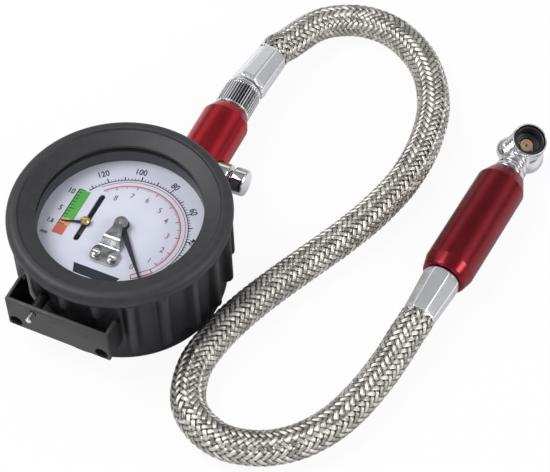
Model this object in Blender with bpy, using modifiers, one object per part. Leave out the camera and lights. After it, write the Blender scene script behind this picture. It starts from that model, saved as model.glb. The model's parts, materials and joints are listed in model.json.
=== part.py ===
"""Tyre pressure gauge with a tread-depth slide, a braided hose and a swivel chuck.

The gauge lies on its back. The origin is the centre of that back, +Z points out of the dial,
+Y runs along the hose stem and +X points to the bleed button. Sizes are in millimetres and
become metres where a mesh is made.
"""

import math

import bmesh
import bpy
from mathutils import Matrix, Vector

MM = 0.001
MERGE = 0.00001
GAP = 0.3

# Bourdon tube and the socket that feeds it
BOURDON_RADIUS = 26.0
BOURDON_WIDTH = 8.0
BOURDON_DEPTH = 3.0
BOURDON_START = 90.0
BOURDON_SWEEP = 281.0
SOCKET_WIDTH = 18.0
SOCKET_LENGTH = 11.5
SOCKET_SCREW_INSET = 6.0
SOCKET_LOW = 6.2
STEM_X = 5.8
STEM_Z = 12.0
STEM_RADIUS = 5.5
STEM_BORE = 1.5

# Movement
GEAR_MODULE = 0.3
PINION_TEETH = 12
SECTOR_TEETH_ROUND = 120
SECTOR_TEETH = 11
SECTOR_DIRECTION = 30.0
SECTOR_TAIL = 5.0
SECTOR_TAIL_ANGLE = 10.0
ARBOR_RADIUS = 0.8
GEAR_THICKNESS = 1.6
PLATE_THICKNESS = 1.0
LINK_THICKNESS = 0.6
LINK_EYE_RADIUS = 1.4
TIP_BACK = 2.0
TIP_FLANGE_RADIUS = 1.9
TIP_PIN_RADIUS = 1.2
PILLAR_RADIUS = 1.6
PILLARS = [(2.0, 13.5), (18.5, -1.5), (-5.6, -1.6)]
PLATE_EDGE = [(21.5, 13.5), (21.0, 6.5), (19.5, -4.6), (2.0, -4.2), (-8.2, -4.2), (-8.2, 1.2)]
BACK_PLATE_REACH = (8.4, 7.4)
BACK_PLATE_INSET = 1.5
FRONT_PLATE_END = [(-1.5, 17.0), (9.0, 17.0)]
PLATE_CORNER = 1.5
PLATE_SCREW_REACH = (6.3, 4.6)
PLATE_SCREW_DEPTH = 3.2
HAIRSPRING_RADIUS = 3.4
HAIRSPRING_TURNS = 3
PLATE_OVER_TUBE = 0.5
GEAR_OVER_PLATE = 0.7
PLATE_OVER_GEAR = 1.4
DIAL_OVER_PLATE = 5.5

# Metal case and what closes it
CASE_ROUND_TUBE = 5.5
CASE_WALL = 1.0
CASE_BACK = 1.2
CASE_SEAT_WIDTH = 1.0
DIAL_THICKNESS = 0.6
LENS_THICKNESS = 1.6
LENS_ROOM = 4.1
RING_PROUD = 0.3
SLOT_X = -12.6
SLOT_LOW = -11.7
SLOT_HIGH = 10.3
SLOT_WIDTH = 2.2

# Pointer and its bridge
POINTER_ZERO = -48.0
POINTER_INSET = 4.2
POINTER_WIDTH = 2.5
POINTER_THICKNESS = 0.5
POINTER_HUB_RADIUS = 2.9
POINTER_OVER_DIAL = 1.1
BRIDGE_OVER_POINTER = 1.8
BRIDGE_SHEET = 0.7
BRIDGE_EYE_RADIUS = 2.7
BRIDGE_X = 0.5
BRIDGE_BEND = -10.6
BRIDGE_END = -17.2
BRIDGE_CORNER = 2.3
BRIDGE_PAD_WIDTH = 10.8
BRIDGE_SCREW_SPACING = 6.2
BRIDGE_SCREW_Y = -14.2

# Rubber boot
BOOT_WALL = 2.9
BOOT_BACK = 2.4
BOOT_FOOT_HEIGHT = 5.8
BOOT_FOOT_PROUD = 1.0
LIP_OVERHANG = 2.8
LIP_WIDTH = 10.4
LIP_TOP_WIDTH = 4.6
LIP_THICKNESS = 1.2
LIP_RISE = 2.8
LIP_STEP = 0.8
LIP_DEPTH = 5.4
RIB_COUNT = 20
RIB_RADIUS = 2.3
RIB_PROUD = 2.0
RIB_FOOT = 6.6
SHORT_RIB_CENTRE = -94.0

# Bleed valve, red adapter and knurled nut, as distances along the stem beyond the boot's lip
SPIGOT_RADIUS = 3.5
SPIGOT_SHORT_OF_VALVE = 1.9
VALVE_BEYOND = 6.9
VALVE_ARM_RADIUS = 5.0
VALVE_ARM_ROOT = 4.8
VALVE_ARM_PROUD = 4.0
BUTTON_RADIUS = 5.0
BUTTON_LENGTH = 5.1
BUTTON_GAP = 1.8
BUTTON_STEM_RADIUS = 1.6
SPRING_POCKET_RADIUS = 3.0
SPRING_POCKET_DEPTH = 3.7
PASSAGE_RADIUS = 2.0
ADAPTER_RADIUS = 9.3
ADAPTER_START_BEYOND = -0.5
ADAPTER_SHOULDER_BEYOND = 30.6
ADAPTER_CONE = 4.5
ADAPTER_NECK_RADIUS = 7.1
ADAPTER_SPIGOT_RADIUS = 4.6
ADAPTER_SPIGOT = 6.9
NUT_RADIUS = 7.2
NUT_LENGTH = 12.5
KNURL_COUNT = 30
KNURL_DEPTH = 0.42

# Hose, ferrules and handle
FERRULE_LENGTH = 19.0
FERRULE_RADIUS = 6.9
FERRULE_TIP_RADIUS = 5.95
FERRULE_SIDES = 8
FERRULE_TILT = 6.3
TAIL_RADIUS = 2.6
TAIL_LENGTH = 5.0
HOSE_DIAMETER = 12.6
HOSE_POINT_COUNT = 56
HANDLE_RADIUS = 9.4
HANDLE_LENGTH = 52.2
HANDLE_AT = (107.3, 38.4, 9.6)
HANDLE_TURN = 4.6
HANDLE_BOTTOM_RADIUS = 7.9
HANDLE_TOP_RADIUS = 6.9
HANDLE_BOTTOM_TAPER = 5.0
HANDLE_TOP_TAPER = 5.4
HANDLE_BORE = 2.2

# Chuck, as places in the handle's frame: to its right, along it and above it
NECK_RADIUS = 4.5
NECK_LENGTH = 8.0
NECK_SPIGOT = 6.0
NECK_COLLAR_RADIUS = 6.0
BALL_RADIUS = 6.6
BALL_AT = (-3.0, 64.9, 0.0)
ELBOW_RADIUS = 6.2
ELBOW_AT = (1.8, 66.0, -2.6)
MOUTH_AT = (2.1, 66.7, 7.4)
MOUTH_FACING = (0.266, -0.139, 0.943)
CUP_RADIUS = 6.5
CUP_LENGTH = 9.2
CUP_WALL = 0.55
CUP_BORE_DEPTH = 7.2
CORE_RADIUS = 2.7
CORE_DEPTH = 5.1

# Tread-depth slide: the tray under the dial's slot, and the pin that runs in it
TRAY_LEFT = -23.5
TRAY_RIGHT = 16.5
TRAY_BEYOND = 3.3
TRAY_HEIGHT = 15.0
TRAY_OVER_SEAT = 0.3
TRAY_WALL = 1.2
CORNER_HOLE_RADIUS = 2.5
CORNER_HOLE_INSET = 3.2
CORNER_HOLE_UP = 3.0
TONGUE_LEFT = -17.0
TONGUE_RIGHT = 11.0
TONGUE_HEIGHT = 5.0
GUIDE_RADIUS = 1.9
PIN_RADIUS = 1.1
PIN_PROUD = 3.7
CARRIAGE_Y = -4.9
CARRIAGE_LENGTH = 6.6
CARRIAGE_WIDTH = 5.0
CARRIAGE_HEIGHT = 4.5
NEEDLE_TIP = (-20.9, -6.2)
NEEDLE_OVER_DIAL = 0.4
NEEDLE_THICKNESS = 0.4

# The stack of heights, from the stem up to the boot's lip
BACK_PLATE_Z = STEM_Z + BOURDON_WIDTH / 2 + PLATE_OVER_TUBE
GEAR_Z = BACK_PLATE_Z + PLATE_THICKNESS + GEAR_OVER_PLATE
FRONT_PLATE_Z = GEAR_Z + GEAR_THICKNESS + PLATE_OVER_GEAR
DIAL_SEAT = FRONT_PLATE_Z + PLATE_THICKNESS + DIAL_OVER_PLATE
DIAL_LOW = DIAL_SEAT + GAP
DIAL_HIGH = DIAL_LOW + DIAL_THICKNESS
NEEDLE_Z = DIAL_HIGH + NEEDLE_OVER_DIAL
POINTER_Z = DIAL_HIGH + POINTER_OVER_DIAL
BRIDGE_TOP = POINTER_Z + POINTER_THICKNESS + BRIDGE_OVER_POINTER
CASE_HIGH = BRIDGE_TOP + LENS_ROOM
LENS_LOW = CASE_HIGH - LENS_THICKNESS
LIP_UNDERSIDE = CASE_HIGH + GAP
LIP_INNER_HEIGHT = LIP_UNDERSIDE + LIP_THICKNESS
BOOT_HEIGHT = LIP_INNER_HEIGHT + LIP_RISE
CARRIAGE_HIGH = DIAL_SEAT - GAP
CARRIAGE_LOW = CARRIAGE_HIGH - CARRIAGE_HEIGHT
TRAY_HIGH = DIAL_SEAT + TRAY_OVER_SEAT
TRAY_LOW = TRAY_HIGH - TRAY_HEIGHT
PIN_Z = CARRIAGE_LOW + 1.9
SHORT_RIB_FOOT = TRAY_HIGH - 3.0

# The rings round the tube, from the case out to the boot's lip
CASE_INNER = BOURDON_RADIUS + BOURDON_DEPTH / 2 + CASE_ROUND_TUBE
CASE_RADIUS = CASE_INNER + CASE_WALL
BOOT_WALL_RADIUS = CASE_RADIUS + GAP + BOOT_WALL
BOOT_RADIUS = BOOT_WALL_RADIUS + LIP_OVERHANG
LIP_INNER_RADIUS = BOOT_RADIUS - LIP_WIDTH
LIP_STEP_RADIUS = BOOT_RADIUS - LIP_TOP_WIDTH
INSERT_RADIUS = CASE_INNER - GAP
RING_INNER_RADIUS = LIP_INNER_RADIUS + RING_PROUD
POINTER_LENGTH = RING_INNER_RADIUS - POINTER_INSET
RIB_CIRCLE = BOOT_WALL_RADIUS + RIB_PROUD - RIB_RADIUS
CASE_LOW = BOOT_BACK + GAP
CASE_FLOOR = CASE_LOW + CASE_BACK

# What follows along the stem, in the movement and at the tray
SOCKET_FRONT = BOURDON_RADIUS + BOURDON_DEPTH / 2
SOCKET_BACK = SOCKET_FRONT - SOCKET_LENGTH
VALVE_Y = BOOT_RADIUS + VALVE_BEYOND
SPIGOT_END = VALVE_Y - SPIGOT_SHORT_OF_VALVE
ADAPTER_START = BOOT_RADIUS + ADAPTER_START_BEYOND
ADAPTER_SHOULDER = BOOT_RADIUS + ADAPTER_SHOULDER_BEYOND
ADAPTER_END = ADAPTER_SHOULDER + ADAPTER_CONE
STEM_END = ADAPTER_START - GAP
VALVE_ARM = ADAPTER_RADIUS + VALVE_ARM_PROUD
NUT_START = ADAPTER_END + GAP
NUT_END = NUT_START + NUT_LENGTH
BORE_RADIUS = ARBOR_RADIUS + GAP
PINION_RADIUS = GEAR_MODULE * PINION_TEETH / 2
SECTOR_RADIUS = GEAR_MODULE * SECTOR_TEETH_ROUND / 2
GEAR_DISTANCE = PINION_RADIUS + SECTOR_RADIUS + 0.05
TRAY_FRONT = -BOOT_RADIUS - TRAY_BEYOND
GUIDE_END = CASE_SEAT_WIDTH + 3.5 - CASE_INNER
CUP_BORE = CUP_RADIUS - CUP_WALL

# The hose's way over the bench, from one ferrule to the other
HOSE_ROUTE = [
    (10.5, 116.5, 10.6),
    (17.4, 133.3, 8.4),
    (31.0, 142.4, 6.9),
    (47.1, 141.3, 6.5),
    (62.6, 130.7, 6.5),
    (73.0, 113.6, 6.5),
    (77.0, 94.5, 6.5),
    (76.6, 76.0, 6.5),
    (72.7, 59.0, 6.5),
    (67.0, 43.5, 6.5),
    (60.4, 29.0, 6.5),
    (53.8, 14.7, 6.5),
    (47.9, 0.3, 6.5),
    (43.5, -14.7, 6.5),
    (42.1, -30.7, 6.5),
    (47.9, -45.7, 6.5),
    (61.3, -52.9, 6.5),
    (75.4, -50.9, 6.5),
    (87.0, -43.2, 6.5),
    (95.2, -31.5, 6.5),
    (100.1, -17.4, 6.5),
    (103.0, -2.3, 6.9),
    (104.7, 10.5, 8.8),
]


# Scene and materials

for leftover in list(bpy.data.objects):
    bpy.data.objects.remove(leftover, do_unlink=True)


def new_collection(name, parent=None):
    collection = bpy.data.collections.new(name)
    (parent or bpy.context.scene.collection).children.link(collection)
    return collection


PARTS = new_collection("tyre_pressure_gauge")
CUTTERS = new_collection("cutters")


def new_material(name, colour, roughness, metallic=0.0, alpha=1.0):
    material = bpy.data.materials.new(name)
    material.use_nodes = True
    shader = material.node_tree.nodes["Principled BSDF"]
    shader.inputs["Base Color"].default_value = (*colour, 1.0)
    shader.inputs["Roughness"].default_value = roughness
    shader.inputs["Metallic"].default_value = metallic
    shader.inputs["Alpha"].default_value = alpha
    return material


RUBBER = new_material("boot_rubber", (0.045, 0.045, 0.05), 0.62)
PLASTIC = new_material("black_plastic", (0.04, 0.04, 0.045), 0.45)
RING_PLASTIC = new_material("ring_plastic", (0.10, 0.10, 0.11), 0.4)
DIAL_WHITE = new_material("dial_white", (0.80, 0.80, 0.87), 0.5)
GLASS = new_material("lens_clear", (0.95, 0.97, 0.98), 0.05, 0.0, 0.25)
POINTER_BLACK = new_material("pointer_black", (0.01, 0.01, 0.012), 0.5)
CHROME = new_material("chrome", (0.75, 0.75, 0.76), 0.12, 1.0)
ALUMINIUM = new_material("aluminium", (0.72, 0.73, 0.74), 0.25, 1.0)
RED = new_material("red_anodised", (0.35, 0.02, 0.035), 0.25, 0.8)
BRASS = new_material("brass", (0.62, 0.45, 0.18), 0.3, 1.0)
BRONZE = new_material("bronze", (0.50, 0.30, 0.14), 0.4, 1.0)
STEEL = new_material("steel", (0.55, 0.55, 0.56), 0.3, 1.0)
BRAID = new_material("steel_braid", (0.55, 0.55, 0.54), 0.35, 1.0)
SEAL_RUBBER = new_material("seal_rubber", (0.015, 0.015, 0.018), 0.55)


# Ways of making a piece

def aim(at, along, side=(0, 0, 1)):
    """A frame at a point, its Z along one direction and its X as near as it can be to another."""
    z_axis = Vector(along).normalized()
    y_axis = z_axis.cross(Vector(side)).normalized()
    x_axis = y_axis.cross(z_axis)
    turn = Matrix((x_axis, y_axis, z_axis)).transposed().to_4x4()
    return Matrix.Translation(Vector(at) * MM) @ turn


def place(name, data, material=None, frame=None):
    """An object of the part, or a hidden helper where it has no material."""
    piece = bpy.data.objects.new(name, data)
    piece.matrix_world = frame if frame is not None else Matrix.Identity(4)
    if material is None:
        CUTTERS.objects.link(piece)
        piece.hide_render = True
        piece.display_type = "WIRE"
    else:
        PARTS.objects.link(piece)
        data.materials.append(material)
    return piece


def turned(name, profile, steps, material=None, frame=None, ring=False):
    """A piece turned round its Z, from (radius, height) points that run down its outer side."""
    mesh = bpy.data.meshes.new(name)
    points = [(radius * MM, 0.0, height * MM) for radius, height in profile]
    last = len(points) - 1
    edges = [(index, index + 1) for index in range(last)]
    if ring:
        edges.append((last, 0))
    mesh.from_pydata(points, edges, [])
    piece = place(name, mesh, material, frame)
    screw = piece.modifiers.new("Turn", "SCREW")
    screw.axis = "Z"
    screw.angle = math.tau
    screw.steps = steps
    screw.render_steps = steps
    screw.use_merge_vertices = True
    screw.merge_threshold = MERGE
    screw.use_smooth_shade = True
    return piece


def rod(name, radius, low, high, steps=24, material=None, frame=None):
    return turned(name, [(0, high), (radius, high), (radius, low), (0, low)], steps, material, frame)


def block(name, low, high, material=None, rounding=0.0, frame=None):
    """A box between two corners, its edges rounded where a radius is given."""
    mesh = bpy.data.meshes.new(name)
    shape = bmesh.new()
    bmesh.ops.create_cube(shape, size=1.0)
    size = [(b - a) * MM for a, b in zip(low, high)]
    middle = [(a + b) / 2 * MM for a, b in zip(low, high)]
    bmesh.ops.scale(shape, vec=size, verts=shape.verts)
    bmesh.ops.translate(shape, vec=middle, verts=shape.verts)
    shape.to_mesh(mesh)
    shape.free()
    piece = place(name, mesh, material, frame)
    if rounding:
        bevel = piece.modifiers.new("Round", "BEVEL")
        bevel.width = rounding * MM
        bevel.segments = 2
    return piece


def ball(name, radius, centre, material=None):
    mesh = bpy.data.meshes.new(name)
    shape = bmesh.new()
    bmesh.ops.create_uvsphere(shape, u_segments=28, v_segments=16, radius=radius * MM)
    shape.to_mesh(mesh)
    shape.free()
    mesh.shade_smooth()
    return place(name, mesh, material, Matrix.Translation(centre))


def flat_curve(name, outlines, thickness):
    curve = bpy.data.curves.new(name, "CURVE")
    curve.dimensions = "2D"
    curve.fill_mode = "BOTH"
    curve.extrude = thickness / 2 * MM
    for outline in outlines:
        spline = curve.splines.new("POLY")
        spline.points.add(len(outline) - 1)
        for point, (x, y) in zip(spline.points, outline):
            point.co = (x * MM, y * MM, 0, 1)
        spline.use_cyclic_u = True
    return curve


def plate(name, outlines, low, thickness, material=None, frame=None):
    """A flat piece cut to the first outline, with the others as holes."""
    level = Matrix.Translation((0, 0, (low + thickness / 2) * MM))
    base = frame if frame is not None else Matrix.Identity(4)
    return place(name, flat_curve(name, outlines, thickness), material, base @ level)


def as_mesh(piece, material=None):
    """The same piece as one welded mesh, which a cut or a join needs."""
    bpy.context.view_layer.update()
    graph = bpy.context.evaluated_depsgraph_get()
    mesh = bpy.data.meshes.new_from_object(piece.evaluated_get(graph))
    shape = bmesh.new()
    shape.from_mesh(mesh)
    bmesh.ops.remove_doubles(shape, verts=shape.verts, dist=MERGE / 10)
    bmesh.ops.recalc_face_normals(shape, faces=shape.faces)
    shape.to_mesh(mesh)
    shape.free()
    mesh.materials.clear()
    name, frame = piece.name, piece.matrix_world.copy()
    bpy.data.objects.remove(piece, do_unlink=True)
    return place(name, mesh, material, frame)


def combine(piece, operation, *helpers):
    """One Boolean of a piece with its helpers."""
    group = new_collection(f"{piece.name}_{operation.lower()}", CUTTERS)
    for helper in helpers:
        group.objects.link(helper)
        CUTTERS.objects.unlink(helper)
    boolean = piece.modifiers.new(operation.title(), "BOOLEAN")
    boolean.operation = operation
    if len(helpers) == 1:
        boolean.object = helpers[0]
    else:
        boolean.operand_type = "COLLECTION"
        boolean.collection = group


def circle(radius, centre=(0, 0), count=24):
    turns = [math.tau * index / count for index in range(count)]
    return [(centre[0] + radius * math.cos(t), centre[1] + radius * math.sin(t)) for t in turns]


def arc(radius, centre, start, end, count):
    """Points on an arc between two angles in degrees."""
    turns = [math.radians(start + (end - start) * index / count) for index in range(count + 1)]
    return [(centre[0] + radius * math.cos(t), centre[1] + radius * math.sin(t)) for t in turns]


def long_hole(x, low, high, width, count=6):
    half = width / 2
    top = arc(half, (x, high - half), 0, 180, count)
    return top + arc(half, (x, low + half), 180, 360, count)


def rounded(corners, radius, count=4):
    """A polygon with each corner rounded."""
    outline = []
    for index, corner in enumerate(corners):
        here = Vector(corner)
        back = (Vector(corners[index - 1]) - here).normalized()
        ahead = (Vector(corners[(index + 1) % len(corners)]) - here).normalized()
        half = back.angle(ahead) / 2
        start = here + back * radius / math.tan(half)
        end = here + ahead * radius / math.tan(half)
        centre = here + (back + ahead).normalized() * radius / math.sin(half)
        for step in range(count + 1):
            spoke = (start - centre).lerp(end - centre, step / count).normalized()
            outline.append(tuple(centre + spoke * radius))
    return outline


def gear_outline(teeth, module, backlash, first=0, last=None, turn=0.0):
    """Straight-sided teeth about the origin, with a gap for the mating teeth to run in."""
    pitch = module * teeth / 2
    step = math.tau / teeth
    stations = ((pitch - 1.2 * module, 0.36), (pitch + 0.9 * module, 0.16))
    outline = []
    for tooth in range(first, teeth if last is None else last):
        middle = turn + tooth * step
        (root, wide), (tip, slim) = stations
        for radius, share in ((root, -wide), (tip, -slim), (tip, slim), (root, wide)):
            angle = middle + share * step * (1 - backlash)
            outline.append((radius * math.cos(angle), radius * math.sin(angle)))
    return outline


def tube(name, points, radius, sides, material, frame=None):
    """A round tube along a run of points, its ends closed."""
    curve = bpy.data.curves.new(name, "CURVE")
    curve.dimensions = "3D"
    curve.bevel_depth = radius * MM
    curve.bevel_resolution = sides
    curve.use_fill_caps = True
    spline = curve.splines.new("POLY")
    spline.points.add(len(points) - 1)
    for point, place_at in zip(spline.points, points):
        point.co = (*[value * MM for value in place_at], 1)
    return place(name, curve, material, frame)


def smooth_route(points, count):
    """Evenly spaced points on a smooth curve through the ones given."""
    knots = [Vector(point) for point in points]
    knots = [2 * knots[0] - knots[1]] + knots + [2 * knots[-1] - knots[-2]]
    fine = []
    for before, start, end, after in zip(knots, knots[1:], knots[2:], knots[3:]):
        for step in range(20):
            t = step / 20
            pull = (end - before, 2 * before - 5 * start + 4 * end - after)
            bend = 3 * start - before - 3 * end + after
            fine.append(start + 0.5 * t * (pull[0] + t * (pull[1] + t * bend)))
    fine.append(knots[-2])
    reach = [0.0]
    for here, ahead in zip(fine, fine[1:]):
        reach.append(reach[-1] + (ahead - here).length)
    even = []
    index = 0
    for station in range(count):
        want = reach[-1] * station / (count - 1)
        while index < len(fine) - 2 and reach[index + 1] < want:
            index += 1
        share = (want - reach[index]) / (reach[index + 1] - reach[index])
        even.append(tuple(fine[index].lerp(fine[index + 1], share)))
    return even


def around(radius, degrees):
    return radius * math.cos(math.radians(degrees)), radius * math.sin(math.radians(degrees))


STEM = aim((STEM_X, 0, STEM_Z), (0, 1, 0))
VALVE = aim((STEM_X, VALVE_Y, STEM_Z), (1, 0, 0))
PIN = aim((SLOT_X, 0, PIN_Z), (0, 1, 0))
HANDLE_WAY = (math.sin(math.radians(HANDLE_TURN)), math.cos(math.radians(HANDLE_TURN)), 0)
HANDLE = aim(HANDLE_AT, HANDLE_WAY)


def by_handle(point):
    """World place of a point given to the right of the handle, along it and above it."""
    right, along, above = (value * MM for value in point)
    return HANDLE @ Vector((above, right, along))


# Rubber boot

def make_rib(angle, foot):
    top = LIP_UNDERSIDE - 0.6
    x, y = around(RIB_CIRCLE, angle)
    profile = [(0, top), (RIB_RADIUS, top), (RIB_RADIUS, foot + RIB_RADIUS)]
    profile += [(r, foot + RIB_RADIUS + z) for r, z in arc(RIB_RADIUS, (0, 0), -30, -90, 2)]
    return turned("rib", profile, 14, None, Matrix.Translation((x * MM, y * MM, 0)))


def make_boot():
    inner = BOOT_WALL_RADIUS - BOOT_WALL
    foot = BOOT_WALL_RADIUS + BOOT_FOOT_PROUD
    lip_low = BOOT_HEIGHT - LIP_DEPTH
    profile = [
        (0, BOOT_BACK),
        (inner, BOOT_BACK),
        (inner, LIP_UNDERSIDE),
        (LIP_INNER_RADIUS, LIP_UNDERSIDE),
        (LIP_INNER_RADIUS, LIP_INNER_HEIGHT),
        (LIP_STEP_RADIUS, BOOT_HEIGHT - LIP_STEP),
        (LIP_STEP_RADIUS + 0.5, BOOT_HEIGHT),
        (BOOT_RADIUS - 1.8, BOOT_HEIGHT),
        (BOOT_RADIUS - 0.5, BOOT_HEIGHT - 0.6),
        (BOOT_RADIUS, BOOT_HEIGHT - 1.9),
        (BOOT_RADIUS, lip_low + 1.6),
        (BOOT_RADIUS - 0.8, lip_low + 0.4),
        (BOOT_WALL_RADIUS, lip_low),
        (BOOT_WALL_RADIUS, BOOT_FOOT_HEIGHT),
        (foot, BOOT_FOOT_HEIGHT - 1.0),
        (foot, 1.3),
        (foot - 1.2, 0),
        (0, 0),
    ]
    boot = turned("rubber_boot", profile, 60, RUBBER)
    pitch = 360 / RIB_COUNT
    ribs = []
    for index in range(RIB_COUNT):
        angle = index * pitch if index * pitch <= 180 else index * pitch - 360
        x, y = around(RIB_CIRCLE, angle)
        beside_stem = y > 0 and abs(x - STEM_X) < STEM_RADIUS + RIB_RADIUS + 0.5
        over_tray = y < 0 and TRAY_LEFT - 5 < x < TRAY_RIGHT + 3
        if not beside_stem and not over_tray:
            ribs.append(make_rib(angle, RIB_FOOT))
    for index in (-2, -1, 0, 1):
        ribs.append(make_rib(SHORT_RIB_CENTRE + index * pitch, SHORT_RIB_FOOT))
    combine(boot, "UNION", *ribs)
    window = block(
        "tongue_window",
        (TONGUE_LEFT - GAP, -BOOT_RADIUS, TRAY_LOW - GAP),
        (TONGUE_RIGHT + GAP, -20, TRAY_LOW + TONGUE_HEIGHT + GAP),
    )
    stem_hole = rod("boot_stem_hole", STEM_RADIUS + GAP, 20, BOOT_RADIUS + 2, 24, None, STEM)
    guide_hole = rod("boot_guide_hole", GUIDE_RADIUS + GAP, -BOOT_RADIUS - 2, -20, 20, None, PIN)
    combine(boot, "DIFFERENCE", window, stem_hole, guide_hole)


# Case, dial and lens

def make_case():
    seat = CASE_INNER - CASE_SEAT_WIDTH
    profile = [
        (0, CASE_FLOOR),
        (seat, CASE_FLOOR),
        (seat, DIAL_SEAT),
        (CASE_INNER, DIAL_SEAT),
        (CASE_INNER, CASE_HIGH),
        (CASE_RADIUS, CASE_HIGH),
        (CASE_RADIUS, CASE_LOW + 1.5),
        (CASE_RADIUS - 1.5, CASE_LOW),
        (0, CASE_LOW),
    ]
    case = turned("gauge_case", profile, 60, STEEL)
    stem_hole = rod("case_stem_hole", STEM_RADIUS + GAP, 20, CASE_RADIUS + 2, 24, None, STEM)
    guide_hole = rod("case_guide_hole", GUIDE_RADIUS + GAP, -CASE_RADIUS - 2, -20, 20, None, PIN)
    combine(case, "DIFFERENCE", stem_hole, guide_hole)


def make_dial():
    holes = [circle(2.0, (0, 0), 20), long_hole(SLOT_X, SLOT_LOW, SLOT_HIGH, SLOT_WIDTH)]
    for side in (-0.5, 0.5):
        at = (BRIDGE_X + side * BRIDGE_SCREW_SPACING, BRIDGE_SCREW_Y)
        holes.append(circle(1.0, at, 12))
    outlines = [circle(INSERT_RADIUS, (0, 0), 60), *holes]
    plate("dial_plate", outlines, DIAL_LOW, DIAL_THICKNESS, DIAL_WHITE)
    low, high = DIAL_HIGH + GAP, LENS_LOW - GAP
    profile = [
        (RING_INNER_RADIUS, high),
        (INSERT_RADIUS, high),
        (INSERT_RADIUS, low),
        (RING_INNER_RADIUS, low),
    ]
    turned("dial_ring", profile, 60, RING_PLASTIC, ring=True)
    lens = [(0, CASE_HIGH), (INSERT_RADIUS, CASE_HIGH), (INSERT_RADIUS, LENS_LOW), (0, LENS_LOW)]
    turned("lens", lens, 60, GLASS)


# Pointer and the stamped bridge over it

def make_pointer():
    half = POINTER_WIDTH / 2
    turn = math.degrees(math.asin(half / POINTER_HUB_RADIUS))
    hub = arc(POINTER_HUB_RADIUS, (0, 0), turn, 360 - turn, 18)
    needle = [(POINTER_LENGTH - 0.4, -0.25), (POINTER_LENGTH, 0), (POINTER_LENGTH - 0.4, 0.25)]
    frame = Matrix.Rotation(math.radians(POINTER_ZERO), 4, "Z")
    outlines = [hub + needle, circle(BORE_RADIUS, (0, 0), 12)]
    plate("pressure_pointer", outlines, POINTER_Z, POINTER_THICKNESS, POINTER_BLACK, frame)


def make_bridge():
    pad = BRIDGE_PAD_WIDTH / 2
    waist, shoulder = BRIDGE_EYE_RADIUS * 0.8, BRIDGE_EYE_RADIUS * 1.3
    eye = arc(BRIDGE_EYE_RADIUS, (0, 0), -40, 220, 14)
    corners = [
        (BRIDGE_X - shoulder, BRIDGE_BEND),
        (BRIDGE_X - pad, BRIDGE_BEND - 1.6),
        (BRIDGE_X - pad, BRIDGE_END),
        (BRIDGE_X + pad, BRIDGE_END),
        (BRIDGE_X + pad, BRIDGE_BEND - 1.6),
        (BRIDGE_X + shoulder, BRIDGE_BEND),
    ]
    foot = rounded(corners, BRIDGE_CORNER)[5:-5]
    neck = [(-waist, -3.4), (BRIDGE_X - shoulder, BRIDGE_BEND)]
    outline = eye + neck + foot + [(BRIDGE_X + shoulder, BRIDGE_BEND), (waist, -3.4)]
    low, high = DIAL_HIGH + GAP, BRIDGE_TOP
    holes = [circle(BORE_RADIUS, (0, 0), 14)]
    for side in (-0.5, 0.5):
        at = (BRIDGE_X + side * BRIDGE_SCREW_SPACING, BRIDGE_SCREW_Y)
        holes.append(circle(1.0, at, 12))
    bridge = plate("pointer_bridge", [outline, *holes], low - 1, high - low + 2, CHROME)
    bridge = as_mesh(bridge, CHROME)
    sheet = BRIDGE_SHEET
    side_view = [
        (BRIDGE_END - 1, low),
        (BRIDGE_BEND - 0.4, low),
        (BRIDGE_BEND + 1.9, high - sheet),
        (BRIDGE_EYE_RADIUS + 1, high - sheet),
        (BRIDGE_EYE_RADIUS + 1, high),
        (BRIDGE_BEND + 1.5, high),
        (BRIDGE_BEND - 0.8, low + sheet),
        (BRIDGE_END - 1, low + sheet),
    ]
    across = Matrix(((0, 0, 1, 0), (1, 0, 0, 0), (0, 1, 0, 0), (0, 0, 0, 1)))
    bend = place("bridge_side_view", flat_curve("bridge_side_view", [side_view], 30), None, across)
    combine(bridge, "INTERSECT", as_mesh(bend))
    head = low + sheet + GAP
    for name, side in (("bridge_screw_left", -0.5), ("bridge_screw_right", 0.5)):
        at = (BRIDGE_X + side * BRIDGE_SCREW_SPACING, BRIDGE_SCREW_Y)
        make_screw(name, at, head, 1.6, 0.8, 0.7, DIAL_SEAT - 1.4, CHROME)


def make_screw(name, at, seat, head_radius, head_height, shank_radius, end, material):
    """A slotted screw that stands on its seat, its shank down to a given height."""
    top = seat + head_height
    profile = [
        (0, top),
        (head_radius * 0.75, top),
        (head_radius, top - head_height * 0.4),
        (head_radius, seat),
        (shank_radius, seat),
        (shank_radius, end),
        (0, end),
    ]
    frame = Matrix.Translation((at[0] * MM, at[1] * MM, 0))
    screw = turned(name, profile, 16, material, frame)
    half = head_radius * 0.16
    low = (-head_radius - 1, -half, top - head_height * 0.4)
    slot = block(f"{name}_slot", low, (head_radius + 1, half, top + 1), None, 0.0, frame)
    combine(screw, "DIFFERENCE", slot)


# Movement under the dial

SECTOR_AT = around(GEAR_DISTANCE, SECTOR_DIRECTION)
TAIL_AT = tuple(a + b for a, b in zip(SECTOR_AT, around(SECTOR_TAIL, SECTOR_TAIL_ANGLE)))
TIP_AT = around(BOURDON_RADIUS, BOURDON_START + BOURDON_SWEEP - TIP_BACK)
LINK_LENGTH = math.dist(TAIL_AT, TIP_AT)
LINK_DIRECTION = math.degrees(math.atan2(TIP_AT[1] - TAIL_AT[1], TIP_AT[0] - TAIL_AT[0]))
PLATE_SCREW_Y = SOCKET_FRONT - SOCKET_SCREW_INSET
PLATE_SCREWS = [
    (STEM_X - PLATE_SCREW_REACH[0], PLATE_SCREW_Y),
    (STEM_X + PLATE_SCREW_REACH[1], PLATE_SCREW_Y),
]


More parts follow.
